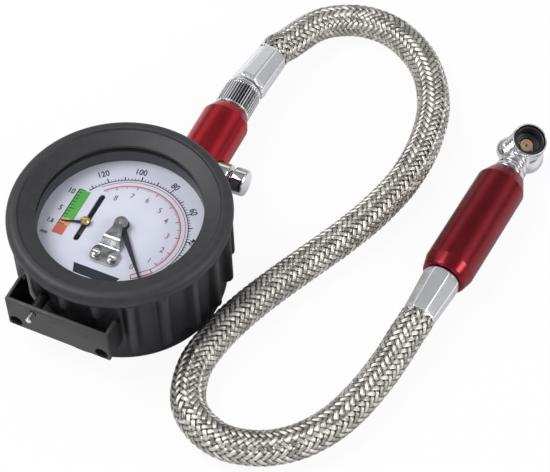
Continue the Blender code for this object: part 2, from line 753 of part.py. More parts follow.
def make_pinion():
    turn = math.radians(SECTOR_DIRECTION + 180 / PINION_TEETH)
    teeth = gear_outline(PINION_TEETH, GEAR_MODULE, 0.2, turn=turn)
    pinion = as_mesh(plate("pinion_arbor", [teeth], GEAR_Z, GEAR_THICKNESS, STEEL), STEEL)
    low, high = BACK_PLATE_Z + 0.1, BRIDGE_TOP + 0.3
    combine(pinion, "UNION", rod("arbor", ARBOR_RADIUS, low, high, 16))


def make_sector():
    step = 360 / SECTOR_TEETH_ROUND
    start = SECTOR_DIRECTION + 180 - 1 * step
    turn = math.radians(start)
    teeth = gear_outline(SECTOR_TEETH_ROUND, GEAR_MODULE, 0.2, 0, SECTOR_TEETH, turn)
    middle = start + step * (SECTOR_TEETH - 1) / 2
    rim = SECTOR_RADIUS - 1.2 * GEAR_MODULE
    half = step * SECTOR_TEETH / 2 + 0.6
    edge = [around(rim, middle + half), around(rim - 2.2, middle + half - 2)]
    web = [around(2.6, middle + 70), around(2.2, middle + 110)]
    tail_at = around(SECTOR_TAIL, SECTOR_TAIL_ANGLE)
    tail = arc(LINK_EYE_RADIUS, tail_at, SECTOR_TAIL_ANGLE - 80, SECTOR_TAIL_ANGLE + 80, 6)
    web_back = [around(2.2, middle - 110), around(2.6, middle - 70)]
    edge_back = [around(rim - 2.2, middle - half + 2), around(rim, middle - half)]
    outline = teeth + edge + web + tail + web_back + edge_back
    frame = Matrix.Translation((SECTOR_AT[0] * MM, SECTOR_AT[1] * MM, 0))
    sector = as_mesh(plate("sector_gear", [outline], GEAR_Z, GEAR_THICKNESS, BRASS, frame), BRASS)
    low, high = BACK_PLATE_Z + 0.1, FRONT_PLATE_Z + PLATE_THICKNESS - 0.1
    arbor = rod("sector_arbor", ARBOR_RADIUS, low, high, 16, None, frame)
    tail_frame = Matrix.Translation((TAIL_AT[0] * MM, TAIL_AT[1] * MM, 0))
    pin = rod("tail_pin", 0.5, GEAR_Z + 0.5, FRONT_PLATE_Z - GAP, 12, None, tail_frame)
    combine(sector, "UNION", arbor, pin)


def make_link():
    low = GEAR_Z + GEAR_THICKNESS + GAP
    across = (LINK_DIRECTION - 90, LINK_DIRECTION + 90)
    end = around(LINK_LENGTH, LINK_DIRECTION)
    near = arc(LINK_EYE_RADIUS, (0, 0), across[1], across[1] + 180, 8)
    far = arc(LINK_EYE_RADIUS, end, across[0], across[1], 8)
    holes = [circle(0.8, (0, 0), 12), circle(0.8, end, 12)]
    frame = Matrix.Translation((TAIL_AT[0] * MM, TAIL_AT[1] * MM, 0))
    plate("movement_link", [near + far, *holes], low, LINK_THICKNESS, STEEL, frame)


def make_plates():
    plate_end = SOCKET_FRONT - BACK_PLATE_INSET
    left, right = BACK_PLATE_REACH
    back = [(STEM_X - left, plate_end), (STEM_X + right, plate_end), *PLATE_EDGE]
    front = [*FRONT_PLATE_END, *PLATE_EDGE]
    bearings = [circle(BORE_RADIUS, (0, 0), 12), circle(BORE_RADIUS, SECTOR_AT, 12)]
    back_holes = bearings + [circle(1.2, at, 12) for at in PLATE_SCREWS]
    back_plate = plate(
        "movement_back_plate",
        [rounded(back, PLATE_CORNER), *back_holes],
        BACK_PLATE_Z,
        PLATE_THICKNESS,
        BRASS,
    )
    back_plate = as_mesh(back_plate, BRASS)
    pillar_low = BACK_PLATE_Z + PLATE_THICKNESS / 2
    pillar_top = FRONT_PLATE_Z - GAP
    pillars = []
    for x, y in PILLARS:
        frame = Matrix.Translation((x * MM, y * MM, 0))
        profile = [
            (0, pillar_top - 2.4),
            (0.9, pillar_top - 2.4),
            (0.9, pillar_top),
            (PILLAR_RADIUS, pillar_top),
            (PILLAR_RADIUS, pillar_low),
            (0, pillar_low),
        ]
        pillars.append(turned("pillar", profile, 16, None, frame))
    combine(back_plate, "UNION", *pillars)
    tip_frame = Matrix.Translation((TIP_AT[0] * MM, TIP_AT[1] * MM, 0))
    room = TIP_FLANGE_RADIUS + GAP
    tip_room = rod("tip_room", room, BACK_PLATE_Z - 1, FRONT_PLATE_Z, 16, None, tip_frame)
    combine(back_plate, "DIFFERENCE", tip_room)
    front_holes = bearings + [circle(0.9, at, 12) for at in PILLARS]
    outlines = [rounded(front, PLATE_CORNER), *front_holes]
    plate("movement_front_plate", outlines, FRONT_PLATE_Z, PLATE_THICKNESS, BRASS)
    head = FRONT_PLATE_Z + PLATE_THICKNESS + GAP
    for index, at in enumerate(PILLARS):
        name = f"front_plate_screw_{index + 1}"
        make_screw(name, at, head, 1.5, 0.8, 0.6, pillar_top - 2.1, STEEL)
    head = BACK_PLATE_Z + PLATE_THICKNESS + GAP
    for index, at in enumerate(PLATE_SCREWS):
        name = f"back_plate_screw_{index + 1}"
        make_screw(name, at, head, 1.7, 0.9, 0.9, BACK_PLATE_Z - PLATE_SCREW_DEPTH, STEEL)


def make_hairspring():
    count = 14 * HAIRSPRING_TURNS
    low = ARBOR_RADIUS + 0.5
    points = []
    for index in range(count + 1):
        radius = low + (HAIRSPRING_RADIUS - low) * index / count
        x, y = around(radius, 360 * HAIRSPRING_TURNS * index / count)
        points.append((x, y, GEAR_Z + GEAR_THICKNESS + 0.6))
    tube("hairspring", points, 0.14, 0, BRONZE)


# Bourdon tube and its socket

def make_bourdon():
    level = (BOURDON_WIDTH / 2, BOURDON_DEPTH / 2)
    oval = bpy.data.curves.new("bourdon_section", "CURVE")
    oval.dimensions = "2D"
    spline = oval.splines.new("POLY")
    section = circle(1.0, (0, 0), 12)
    spline.points.add(len(section) - 1)
    for point, (x, y) in zip(spline.points, section):
        point.co = (x * level[1] * MM, y * level[0] * MM, 0, 1)
    spline.use_cyclic_u = True
    guide = place("bourdon_section", oval)
    path = arc(BOURDON_RADIUS, (0, 0), BOURDON_START, BOURDON_START + BOURDON_SWEEP, 46)
    bourdon = tube("bourdon_tube", [(x, y, STEM_Z) for x, y in path], 1.0, 0, BRONZE)
    bourdon.data.bevel_mode = "OBJECT"
    bourdon.data.bevel_object = guide
    as_mesh(bourdon, BRONZE)
    low = STEM_Z + BOURDON_WIDTH / 2 + GAP
    high = GEAR_Z + GEAR_THICKNESS
    profile = [
        (0, high),
        (TIP_PIN_RADIUS, high),
        (TIP_PIN_RADIUS, low + 0.8),
        (TIP_FLANGE_RADIUS, low + 0.6),
        (TIP_FLANGE_RADIUS, low),
        (0, low),
    ]
    turned("tube_tip", profile, 16, BRASS, Matrix.Translation((TIP_AT[0] * MM, TIP_AT[1] * MM, 0)))


def make_socket():
    half = SOCKET_WIDTH / 2
    top = BACK_PLATE_Z - GAP
    low = (STEM_X - half, SOCKET_BACK, SOCKET_LOW)
    socket = block("socket_block", low, (STEM_X + half, SOCKET_FRONT, top), BRASS, 0.6)
    profile = [
        (0, SPIGOT_END),
        (SPIGOT_RADIUS, SPIGOT_END),
        (SPIGOT_RADIUS, STEM_END),
        (STEM_RADIUS, STEM_END),
        (STEM_RADIUS, SOCKET_FRONT - 1),
        (0, SOCKET_FRONT - 1),
    ]
    combine(socket, "UNION", turned("stem", profile, 24, None, STEM))
    bore = rod("stem_bore", STEM_BORE, SOCKET_BACK + 4, SPIGOT_END + 2, 12, None, STEM)
    centre = BOURDON_START + 4.0
    x, y = around(BOURDON_RADIUS, centre)
    turn = Matrix.Rotation(math.radians(centre), 4, "Z")
    slot_frame = Matrix.Translation((x * MM, y * MM, 0)) @ turn
    radial = BOURDON_DEPTH / 2 + GAP + 0.1
    reach = math.radians(4.0) * BOURDON_RADIUS + GAP
    slot_low = STEM_Z - BOURDON_WIDTH / 2 - GAP
    slot_high = (radial, 9, top + 3)
    slot = block("bourdon_slot", (-radial, -reach, slot_low), slot_high, None, 0.0, slot_frame)
    holes = []
    for at in PLATE_SCREWS:
        frame = Matrix.Translation((at[0] * MM, at[1] * MM, 0))
        deep = BACK_PLATE_Z - PLATE_SCREW_DEPTH - GAP
        holes.append(rod("plate_screw_hole", 1.2, deep, top + 2, 12, None, frame))
    combine(socket, "DIFFERENCE", bore, slot, *holes)


# Bleed valve in the adapter's side

def make_bleed_valve():
    """The bush that carries the button, and the button with its stem, seal and spring."""
    bore = BUTTON_STEM_RADIUS + GAP
    pocket_floor = VALVE_ARM - SPRING_POCKET_DEPTH
    profile = [
        (SPRING_POCKET_RADIUS, VALVE_ARM),
        (VALVE_ARM_RADIUS - 0.4, VALVE_ARM),
        (VALVE_ARM_RADIUS, VALVE_ARM - 0.4),
        (VALVE_ARM_RADIUS, VALVE_ARM_ROOT),
        (bore, VALVE_ARM_ROOT),
        (bore, pocket_floor),
        (SPRING_POCKET_RADIUS, pocket_floor),
    ]
    turned("bleed_valve_body", profile, 28, CHROME, VALVE, ring=True)
    back = VALVE_ARM + BUTTON_GAP
    front = back + BUTTON_LENGTH
    stem_tip = VALVE_ARM - 6.2
    button = [
        (0, front),
        (BUTTON_RADIUS - 0.4, front),
        (BUTTON_RADIUS, front - 0.4),
        (BUTTON_RADIUS, back),
        (BUTTON_STEM_RADIUS, back),
        (BUTTON_STEM_RADIUS, stem_tip),
        (0, stem_tip),
    ]
    turned("bleed_button", button, 28, CHROME, VALVE)
    rod("bleed_seal", BUTTON_STEM_RADIUS - 0.05, stem_tip - 1.2, stem_tip - GAP, 16, SEAL_RUBBER, VALVE)
    low, high = pocket_floor + 0.6, back - 0.6
    coil_radius = (SPRING_POCKET_RADIUS + BUTTON_STEM_RADIUS) / 2
    turns = 4
    coil = []
    for index in range(turns * 10 + 1):
        x, y = around(coil_radius, 36 * index)
        coil.append((x, y, low + (high - low) * index / (turns * 10)))
    tube("bleed_spring", coil, 0.28, 0, STEEL, VALVE)


# Adapter and knurled nut

def make_adapter():
    spigot_end = ADAPTER_END + ADAPTER_SPIGOT
    profile = [
        (0, spigot_end),
        (ADAPTER_SPIGOT_RADIUS, spigot_end),
        (ADAPTER_SPIGOT_RADIUS, ADAPTER_END),
        (ADAPTER_NECK_RADIUS, ADAPTER_END),
        (ADAPTER_RADIUS, ADAPTER_SHOULDER),
        (ADAPTER_RADIUS, ADAPTER_START + 0.8),
        (ADAPTER_RADIUS - 0.6, ADAPTER_START),
        (0, ADAPTER_START),
    ]
    adapter = turned("stem_adapter", profile, 36, RED, STEM)
    room = SPIGOT_RADIUS + GAP
    spigot_room = rod("spigot_room", room, ADAPTER_START - 2, SPIGOT_END + GAP, 24, None, STEM)
    passage = rod("passage", PASSAGE_RADIUS, SPIGOT_END - 1, spigot_end + 2, 16, None, STEM)
    bush_low, bush_high = VALVE_ARM_ROOT - GAP, ADAPTER_RADIUS + 3
    bush_room = rod("bush_room", VALVE_ARM_RADIUS + GAP, bush_low, bush_high, 28, None, VALVE)
    stem_room = rod("stem_room", BUTTON_STEM_RADIUS + GAP, 0, bush_high, 16, None, VALVE)
    combine(adapter, "DIFFERENCE", spigot_room, passage, bush_room, stem_room)


def make_nut():
    bore = ADAPTER_SPIGOT_RADIUS + GAP
    spigot_end = ADAPTER_END + ADAPTER_SPIGOT + GAP
    tail = TAIL_RADIUS + 3 * GAP
    root = NUT_RADIUS - KNURL_DEPTH - 0.02
    profile = [
        (tail, NUT_END),
        (root - 0.7, NUT_END),
        (root, NUT_END - 0.5),
        (root, NUT_END - 1.2),
        (NUT_RADIUS, NUT_END - 1.5),
        (NUT_RADIUS, NUT_START + 0.5),
        (NUT_RADIUS - 0.4, NUT_START),
        (bore, NUT_START),
        (bore, spigot_end),
        (tail, spigot_end),
    ]
    nut = turned("hose_nut", profile, KNURL_COUNT * 2, CHROME, STEM, ring=True)
    step = 360 / KNURL_COUNT
    outline = []
    for tooth in range(KNURL_COUNT):
        for radius, share in ((root, 0.08), (NUT_RADIUS, 0.34), (NUT_RADIUS, 0.66), (root, 0.92)):
            outline.append(around(radius + 0.03, (tooth + share) * step))
    knurl = plate("knurl", [outline], NUT_START - 2, NUT_LENGTH + 4, None, STEM)
    combine(nut, "INTERSECT", as_mesh(knurl))


# Hose with its two crimped ferrules, and the handle

def make_ferrule(name, frame):
    """A crimped ferrule from its fitting end, with the tail that goes into the fitting."""
    mesh = bpy.data.meshes.new(name)
    shape = bmesh.new()
    bmesh.ops.create_cone(
        shape,
        cap_ends=True,
        segments=FERRULE_SIDES,
        radius1=FERRULE_RADIUS * 1.035 * MM,
        radius2=FERRULE_TIP_RADIUS * 1.035 * MM,
        depth=FERRULE_LENGTH * MM,
    )
    bmesh.ops.translate(shape, vec=(0, 0, FERRULE_LENGTH / 2 * MM), verts=shape.verts)
    shape.to_mesh(mesh)
    shape.free()
    ferrule = place(name, mesh, ALUMINIUM, frame)
    soften = ferrule.modifiers.new("Soften", "BEVEL")
    soften.width = 0.9 * MM
    soften.segments = 2
    collar = [
        (0, 2.2),
        (FERRULE_RADIUS - 0.3, 2.2),
        (FERRULE_RADIUS + 0.1, 1.7),
        (FERRULE_RADIUS + 0.1, 0.7),
        (FERRULE_RADIUS - 0.5, 0),
        (TAIL_RADIUS, 0),
        (TAIL_RADIUS, -TAIL_LENGTH),
        (0, -TAIL_LENGTH),
    ]
    combine(ferrule, "UNION", turned(f"{name}_collar", collar, 24, None, frame))


TILT = math.radians(FERRULE_TILT)
FERRULE_WAY = (math.sin(TILT), math.cos(TILT), 0)
FERRULE_AT = (STEM_X + 0.4, NUT_END + GAP + FERRULE_RADIUS * math.sin(TILT), STEM_Z)
FAR_WAY = tuple(-value for value in HANDLE_WAY)
FAR_AT = tuple(a + b * GAP for a, b in zip(HANDLE_AT, FAR_WAY))


def ferrule_point(at, way, beyond):
    return tuple(a + b * (FERRULE_LENGTH + beyond) for a, b in zip(at, way))


def make_hose():
    make_ferrule("hose_ferrule_gauge", aim(FERRULE_AT, FERRULE_WAY))
    make_ferrule("hose_ferrule_chuck", aim(FAR_AT, FAR_WAY))
    near, near_exit = (ferrule_point(FERRULE_AT, FERRULE_WAY, beyond) for beyond in (GAP, 3.5))
    far, far_exit = (ferrule_point(FAR_AT, FAR_WAY, beyond) for beyond in (GAP, 3.5))
    points = smooth_route([near_exit, *HOSE_ROUTE, far_exit], HOSE_POINT_COUNT)
    points = [near, *points, far]
    tube("braided_hose", points, HOSE_DIAMETER / 2, 3, BRAID)


def make_handle():
    top = HANDLE_LENGTH
    pocket = TAIL_RADIUS + GAP
    neck_pocket = NECK_RADIUS - 1.2 + GAP
    profile = [
        (HANDLE_BORE, top - NECK_SPIGOT - GAP),
        (neck_pocket, top - NECK_SPIGOT - GAP),
        (neck_pocket, top),
        (HANDLE_TOP_RADIUS, top),
        (HANDLE_RADIUS, top - HANDLE_TOP_TAPER),
        (HANDLE_RADIUS, HANDLE_BOTTOM_TAPER),
        (HANDLE_BOTTOM_RADIUS + 0.4, 0.7),
        (HANDLE_BOTTOM_RADIUS, 0),
        (pocket, 0),
        (pocket, TAIL_LENGTH + 2 * GAP),
        (HANDLE_BORE, TAIL_LENGTH + 2 * GAP),
    ]
    turned("valve_handle", profile, 36, RED, HANDLE, ring=True)


# Swivel chuck at the handle's end

CHUCK_AXIS = bpy.data.objects.new("chuck_swivel_axis", None)
PARTS.objects.link(CHUCK_AXIS)
CHUCK_AXIS.matrix_world = HANDLE @ Matrix.Translation((0, 0, HANDLE_LENGTH * MM))


def hang_on(parent, piece):
    piece.parent = parent
    piece.matrix_parent_inverse = parent.matrix_world.inverted()


def make_chuck():
    start = HANDLE_LENGTH + GAP
    right, along, above = MOUTH_FACING
    facing = HANDLE.to_3x3() @ Vector((above, right, along))
    mouth = aim(by_handle(MOUTH_AT) / MM, facing, (1, 0, 0))
    cup = [(0, 0), (CUP_RADIUS - 0.2, 0), (CUP_RADIUS, -0.3), (CUP_RADIUS, -0.9), (CUP_RADIUS - 0.45, -1.4)]
    for ring in range(3):
        low = -3.6 - 1.9 * ring
        cup += [(CUP_RADIUS - 0.45, low), (CUP_RADIUS + 0.15, low - 0.4)]
        cup += [(CUP_RADIUS + 0.15, low - 1.1), (CUP_RADIUS - 0.45, low - 1.5)]
    cup += [(CUP_RADIUS - 0.8, -CUP_LENGTH), (0, -CUP_LENGTH)]
    chuck = turned("chuck_body", cup, 28, CHROME, mouth)
    neck = [
        (0, start + NECK_LENGTH),
        (NECK_RADIUS, start + NECK_LENGTH),
        (NECK_RADIUS, start + 2.1),
        (NECK_COLLAR_RADIUS - 0.4, start + 1.8),
        (NECK_COLLAR_RADIUS, start + 1.4),
        (NECK_COLLAR_RADIUS, start + 0.4),
        (NECK_COLLAR_RADIUS - 0.4, start),
        (NECK_RADIUS - 1.2, start),
        (NECK_RADIUS - 1.2, start - NECK_SPIGOT),
        (0, start - NECK_SPIGOT),
    ]
    combine(
        chuck,
        "UNION",
        ball("chuck_ball", BALL_RADIUS, by_handle(BALL_AT)),
        ball("chuck_elbow", ELBOW_RADIUS, by_handle(ELBOW_AT)),
        turned("chuck_neck", neck, 24, None, HANDLE),
    )
    combine(chuck, "DIFFERENCE", rod("mouth_bore", CUP_BORE, -CUP_BORE_DEPTH, 2, 24, None, mouth))
    outer, floor = CUP_BORE - GAP, -CUP_BORE_DEPTH + GAP
    seal_profile = [
        (outer - 0.3, -0.3),
        (outer, -0.6),
        (outer, floor),
        (CORE_RADIUS + GAP, floor),
        (CORE_RADIUS + GAP, floor + 1.3),
        (outer - 0.9, floor + 1.7),
        (outer - 0.6, -0.6),
    ]
    seal = turned("chuck_seal", seal_profile, 24, SEAL_RUBBER, mouth, ring=True)
    core_profile = [
        (0, -CORE_DEPTH - 1.3),
        (0.5, -CORE_DEPTH - 1.3),
        (0.5, -CORE_DEPTH),
        (CORE_RADIUS - 0.3, -CORE_DEPTH),
        (CORE_RADIUS, -CORE_DEPTH - 0.3),
        (CORE_RADIUS, floor),
        (0, floor),
    ]
    core = turned("chuck_core", core_profile, 16, BRASS, mouth)
    for piece in (chuck, seal, core):
        hang_on(CHUCK_AXIS, piece)


# Tread-depth slide

def make_tray():
    outer = block(
        "tread_gauge_housing",
        (TRAY_LEFT, TRAY_FRONT, TRAY_LOW),
        (TRAY_RIGHT, -BOOT_WALL_RADIUS * 0.6, TRAY_HIGH),
        PLASTIC,
        0.5,
    )
    hollow = block(
        "tray_hollow",
        (TRAY_LEFT + TRAY_WALL, TRAY_FRONT + TRAY_WALL, TRAY_LOW + TRAY_WALL),
        (TRAY_RIGHT - TRAY_WALL, 0, TRAY_HIGH + 5),
    )
    wall_room = rod("boot_wall_room", BOOT_WALL_RADIUS + GAP, 0, 50, 60)
    rib_reach = BOOT_WALL_RADIUS + RIB_PROUD + GAP
    rib_room = rod("boot_rib_room", rib_reach, SHORT_RIB_FOOT - 0.4, 50, 60)
    corner_holes = []
    for x in (TRAY_LEFT + CORNER_HOLE_INSET, TRAY_RIGHT - CORNER_HOLE_INSET):
        frame = aim((x, TRAY_FRONT, TRAY_LOW + CORNER_HOLE_UP), (0, 1, 0))
        corner_holes.append(rod("corner_hole", CORNER_HOLE_RADIUS, -1, TRAY_WALL + 0.6, 20, None, frame))
    combine(outer, "DIFFERENCE", hollow, wall_room, rib_room, *corner_holes)
    tongue_low = (TONGUE_LEFT, TRAY_FRONT + TRAY_WALL + 1.2, TRAY_LOW)
    tongue_high = (TONGUE_RIGHT, -20, TRAY_LOW + TONGUE_HEIGHT)
    tongue = block("tongue", tongue_low, tongue_high)
    combine(tongue, "DIFFERENCE", rod("case_room", CASE_RADIUS + GAP, 0, 50, 60))
    guide = rod("guide", GUIDE_RADIUS, TRAY_FRONT + 0.5, GUIDE_END, 20, None, PIN)
    combine(outer, "UNION", tongue, guide)
    bore = rod("pin_bore", PIN_RADIUS + GAP, TRAY_FRONT - 2, GUIDE_END + 2, 16, None, PIN)
    combine(outer, "DIFFERENCE", bore)


def make_slide():
    tip = TRAY_FRONT - PIN_PROUD
    back = CARRIAGE_Y - CARRIAGE_LENGTH / 2
    profile = [
        (0, back + 3.6),
        (PIN_RADIUS, back + 3.6),
        (PIN_RADIUS, tip + 0.5),
        (PIN_RADIUS * 0.7, tip + 0.1),
        (0, tip),
    ]
    turned("depth_pin", profile, 16, CHROME, PIN)
    half = CARRIAGE_WIDTH / 2
    low = (SLOT_X - half, back, CARRIAGE_LOW)
    high = (SLOT_X + half, back + CARRIAGE_LENGTH, CARRIAGE_HIGH)
    carriage = block("depth_carriage", low, high, BRASS, 0.4)
    pin_hole = rod("carriage_pin_hole", PIN_RADIUS + GAP, back - 2, back + 3.9, 16, None, PIN)
    at = (SLOT_X, CARRIAGE_Y + 1.4)
    screw_frame = Matrix.Translation((at[0] * MM, at[1] * MM, 0))
    hole_low, hole_high = CARRIAGE_HIGH - 1.2, CARRIAGE_HIGH + 2
    screw_hole = rod("carriage_screw_hole", 1.0, hole_low, hole_high, 14, None, screw_frame)
    combine(carriage, "DIFFERENCE", pin_hole, screw_hole)
    tip_x, tip_y = NEEDLE_TIP
    reach = math.hypot(tip_x - at[0], tip_y - at[1])
    away = math.degrees(math.atan2(tip_y - at[1], tip_x - at[0]))
    eye = arc(1.9, (0, 0), 16, 344, 16)
    outline = eye + [(reach, -0.12), (reach, 0.12)]
    frame = screw_frame @ Matrix.Rotation(math.radians(away), 4, "Z")
    outlines = [outline, circle(1.0, (0, 0), 12)]
    plate("depth_needle", outlines, NEEDLE_Z, NEEDLE_THICKNESS, POINTER_BLACK, frame)
    head = NEEDLE_Z + NEEDLE_THICKNESS + GAP
    make_screw("carriage_screw", at, head, 1.75, 1.2, 0.7, CARRIAGE_HIGH - 0.9, BRASS)


make_boot()
make_case()
make_dial()
make_pointer()
make_bridge()
make_pinion()
make_sector()
make_link()
make_plates()
make_hairspring()
make_bourdon()
make_socket()
make_bleed_valve()
make_adapter()
make_nut()
make_hose()
make_handle()
make_chuck()
make_tray()
make_slide()
bpy.context.view_layer.update()
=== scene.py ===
"""The tyre pressure gauge as it is photographed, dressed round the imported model."""

import json
import math

import bmesh
import bpy
import numpy as np
from mathutils import Matrix, Vector


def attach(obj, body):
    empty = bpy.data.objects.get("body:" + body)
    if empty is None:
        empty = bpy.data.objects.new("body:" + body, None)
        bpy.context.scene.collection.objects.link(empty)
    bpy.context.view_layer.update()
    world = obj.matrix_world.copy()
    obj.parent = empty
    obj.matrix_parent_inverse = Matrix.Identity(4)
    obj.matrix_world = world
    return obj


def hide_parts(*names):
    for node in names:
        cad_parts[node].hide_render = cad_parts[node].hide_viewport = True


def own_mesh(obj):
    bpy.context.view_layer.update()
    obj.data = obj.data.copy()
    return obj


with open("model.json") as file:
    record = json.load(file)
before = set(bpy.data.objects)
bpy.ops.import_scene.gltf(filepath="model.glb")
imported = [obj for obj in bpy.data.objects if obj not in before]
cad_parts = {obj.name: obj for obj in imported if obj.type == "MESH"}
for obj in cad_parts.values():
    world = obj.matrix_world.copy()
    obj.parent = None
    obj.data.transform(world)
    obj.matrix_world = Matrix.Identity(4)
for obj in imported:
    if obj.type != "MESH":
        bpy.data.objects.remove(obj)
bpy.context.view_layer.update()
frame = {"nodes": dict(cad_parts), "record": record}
scene = bpy.context.scene
MM = 0.001

# Camera, at the photograph's viewing angle

ELEVATION, ROLL, TURN = (math.radians(angle) for angle in (53.3, -2.22, 63.34))
CAMERA_AT = Vector((249.9, -377.5, 623.0))
FOCAL_PIXELS, PHOTO_WIDTH = 2110.0, 550.0
SENSOR = 36.0


def to_row(vector):
    x, y, z = vector
    s, c = math.sin(TURN), math.cos(TURN)
    return Vector((x * s - y * c, x * c + y * s, z))


def add_object(name, data):
    thing = bpy.data.objects.new(name, data)
    scene.collection.objects.link(thing)
    return thing


def add_camera():
    right = Vector((1, 0, 0))
    up = Vector((0, math.sin(ELEVATION), math.cos(ELEVATION)))
    back = Vector((0, -math.cos(ELEVATION), math.sin(ELEVATION)))
    rolled_right = math.cos(ROLL) * right + math.sin(ROLL) * up
    rolled_up = math.cos(ROLL) * up - math.sin(ROLL) * right
    axes = [to_row(axis) for axis in (rolled_right, rolled_up, back)]
    data = bpy.data.cameras.new("photo_camera")
    data.sensor_width = SENSOR
    data.sensor_fit = "HORIZONTAL"
    data.lens = FOCAL_PIXELS / PHOTO_WIDTH * SENSOR
    data.clip_start = 0.01
    data.clip_end = 20
    camera = add_object("photo_camera", data)
    camera.matrix_world = Matrix.Translation(CAMERA_AT * MM) @ Matrix(axes).transposed().to_4x4()
    scene.camera = camera


# Materials

def new_material(name, colour, roughness, metallic=0.0):
    material = bpy.data.materials.new(name)
    material.use_nodes = True
    tree = material.node_tree
    shader = tree.nodes["Principled BSDF"]
    shader.inputs["Base Color"].default_value = (*colour, 1)
    shader.inputs["Roughness"].default_value = roughness
    shader.inputs["Metallic"].default_value = metallic
    return material, tree, shader


def noise_node(tree, scale, detail):
    place = tree.nodes.new("ShaderNodeTexCoord")
    noise = tree.nodes.new("ShaderNodeTexNoise")
    noise.inputs["Scale"].default_value = scale
    noise.inputs["Detail"].default_value = detail
    tree.links.new(place.outputs["Object"], noise.inputs["Vector"])
    return noise


def colour_ramp(tree, value, stops):
    """A colour ramp through the stops, each a place and a colour, in rising order."""
    node = tree.nodes.new("ShaderNodeValToRGB")
    elements = node.color_ramp.elements
    for element, (position, colour) in zip(elements, (stops[0], stops[-1])):
        element.position = position
        element.color = (*colour, 1)
    for position, colour in stops[1:-1]:
        elements.new(position).color = (*colour, 1)
    tree.links.new(value, node.inputs["Fac"])
    return node.outputs["Color"]


def ramp(tree, value, low, high, positions=(0.3, 0.7)):
    return colour_ramp(tree, value, list(zip(positions, (low, high))))


def mapped(tree, value, source, target=(0.0, 1.0)):
    """A value carried from one range to another, and held at its ends."""
    node = tree.nodes.new("ShaderNodeMapRange")
    for name, number in zip(("From Min", "From Max", "To Min", "To Max"), (*source, *target)):
        node.inputs[name].default_value = number
    tree.links.new(value, node.inputs["Value"])
    return node.outputs["Result"]


def span(tree, value, low, high):
    return mapped(tree, value, (0.0, 1.0), (low, high))


def bump(tree, shader, height, distance, strength=1.0):
    node = tree.nodes.new("ShaderNodeBump")
    node.inputs["Distance"].default_value = distance
    node.inputs["Strength"].default_value = strength
    tree.links.new(height, node.inputs["Height"])
    tree.links.new(node.outputs["Normal"], shader.inputs["Normal"])


def roughen(tree, shader, noise, low, high, depth=0.0):
    """Gloss and, where there is a depth, height that follow a noise."""
    tree.links.new(span(tree, noise.outputs["Fac"], low, high), shader.inputs["Roughness"])
    if depth:
        bump(tree, shader, noise.outputs["Fac"], depth)


def maths(tree, operation, value, other=None):
    node = tree.nodes.new("ShaderNodeMath")
    node.operation = operation
    for socket, source in zip(node.inputs, (value, other)):
        if isinstance(source, (int, float)):
            socket.default_value = source
        elif source is not None:
            tree.links.new(source, socket)
    return node.outputs["Value"]


def product(tree, first, *others):
    for other in others:
        first = maths(tree, "MULTIPLY", first, other)
    return first


def axis_distance(tree, right, up):
    """How far a point is from an axis, by its two coordinates across it."""
    squares = [maths(tree, "POWER", value, 2) for value in (right, up)]
    return maths(tree, "SQRT", maths(tree, "ADD", *squares))


def coordinates(tree, source="Object"):
    place = tree.nodes.new("ShaderNodeTexCoord")
    split = tree.nodes.new("ShaderNodeSeparateXYZ")
    tree.links.new(place.outputs[source], split.inputs["Vector"])
    return [split.outputs[axis] for axis in "XYZ"]


def mixed(tree, share, first, second):
    """The first colour where the share is 0 and the second where it is 1."""
    node = tree.nodes.new("ShaderNodeMix")
    node.data_type = "RGBA"
    tree.links.new(share, node.inputs["Factor"])
    tree.links.new(first, node.inputs["A"])
    tree.links.new(second, node.inputs["B"])
    return node.outputs["Result"]


def grained(name, dark, light, roughness, metallic, scale, depth, gloss=0.5):
    """A material whose colour, gloss and surface vary a little, as on a real piece."""
    material, tree, shader = new_material(name, dark, roughness, metallic)
    shader.inputs["Specular IOR Level"].default_value = gloss
    broad, fine = noise_node(tree, scale * 0.12, 5), noise_node(tree, scale, 3)
    tree.links.new(ramp(tree, broad.outputs["Fac"], dark, light), shader.inputs["Base Color"])
    roughen(tree, shader, fine, roughness * 0.82, min(1.0, roughness * 1.18), depth)
    return material


def ink(name, dark, light, gloss=0.5, roughness=0.45):
    return grained(name, dark, light, roughness, 0.0, 900, 0.00001, gloss)


RING = grained("ring", (0.014, 0.014, 0.018), (0.022, 0.022, 0.027), 0.4, 0.0, 1500, 0.00003)
DIAL = ink("dial", (0.66, 0.68, 0.79), (0.71, 0.73, 0.84))
INK = ink("ink_black", (0.012, 0.012, 0.018), (0.02, 0.02, 0.026), 0.1)
STRIP_INK = ink("ink_strip", (0.012, 0.016, 0.028), (0.02, 0.026, 0.04), 0.1, 0.5)
NUMERAL_INK = ink("ink_numeral", (0.20, 0.025, 0.06), (0.25, 0.035, 0.075), 0.1)
RED_INK = ink("ink_red", (0.40, 0.02, 0.05), (0.46, 0.03, 0.065), 0.1)
GREEN_INK = ink("ink_green", (0.06, 0.38, 0.045), (0.08, 0.43, 0.06))
AMBER_INK = ink("ink_amber", (0.62, 0.36, 0.10), (0.66, 0.40, 0.12))
ORANGE_INK = ink("ink_orange", (0.58, 0.10, 0.06), (0.63, 0.13, 0.08))
NEEDLE = grained(
    "needle_black", (0.012, 0.012, 0.018), (0.02, 0.02, 0.028), 0.5, 0.0, 1500, 0.00002, gloss=0.15
)
CHROME = grained("chrome", (0.74, 0.74, 0.75), (0.82, 0.82, 0.83), 0.07, 1.0, 500, 0.000004)
BRIDGE_CHROME = grained("bridge_chrome", (0.22, 0.22, 0.23), (0.95, 0.95, 0.96), 0.14, 1.0, 2600, 0.00006)
ALUMINIUM = grained("aluminium", (0.84, 0.85, 0.88), (0.92, 0.93, 0.95), 0.17, 0.8, 900, 0.000003)
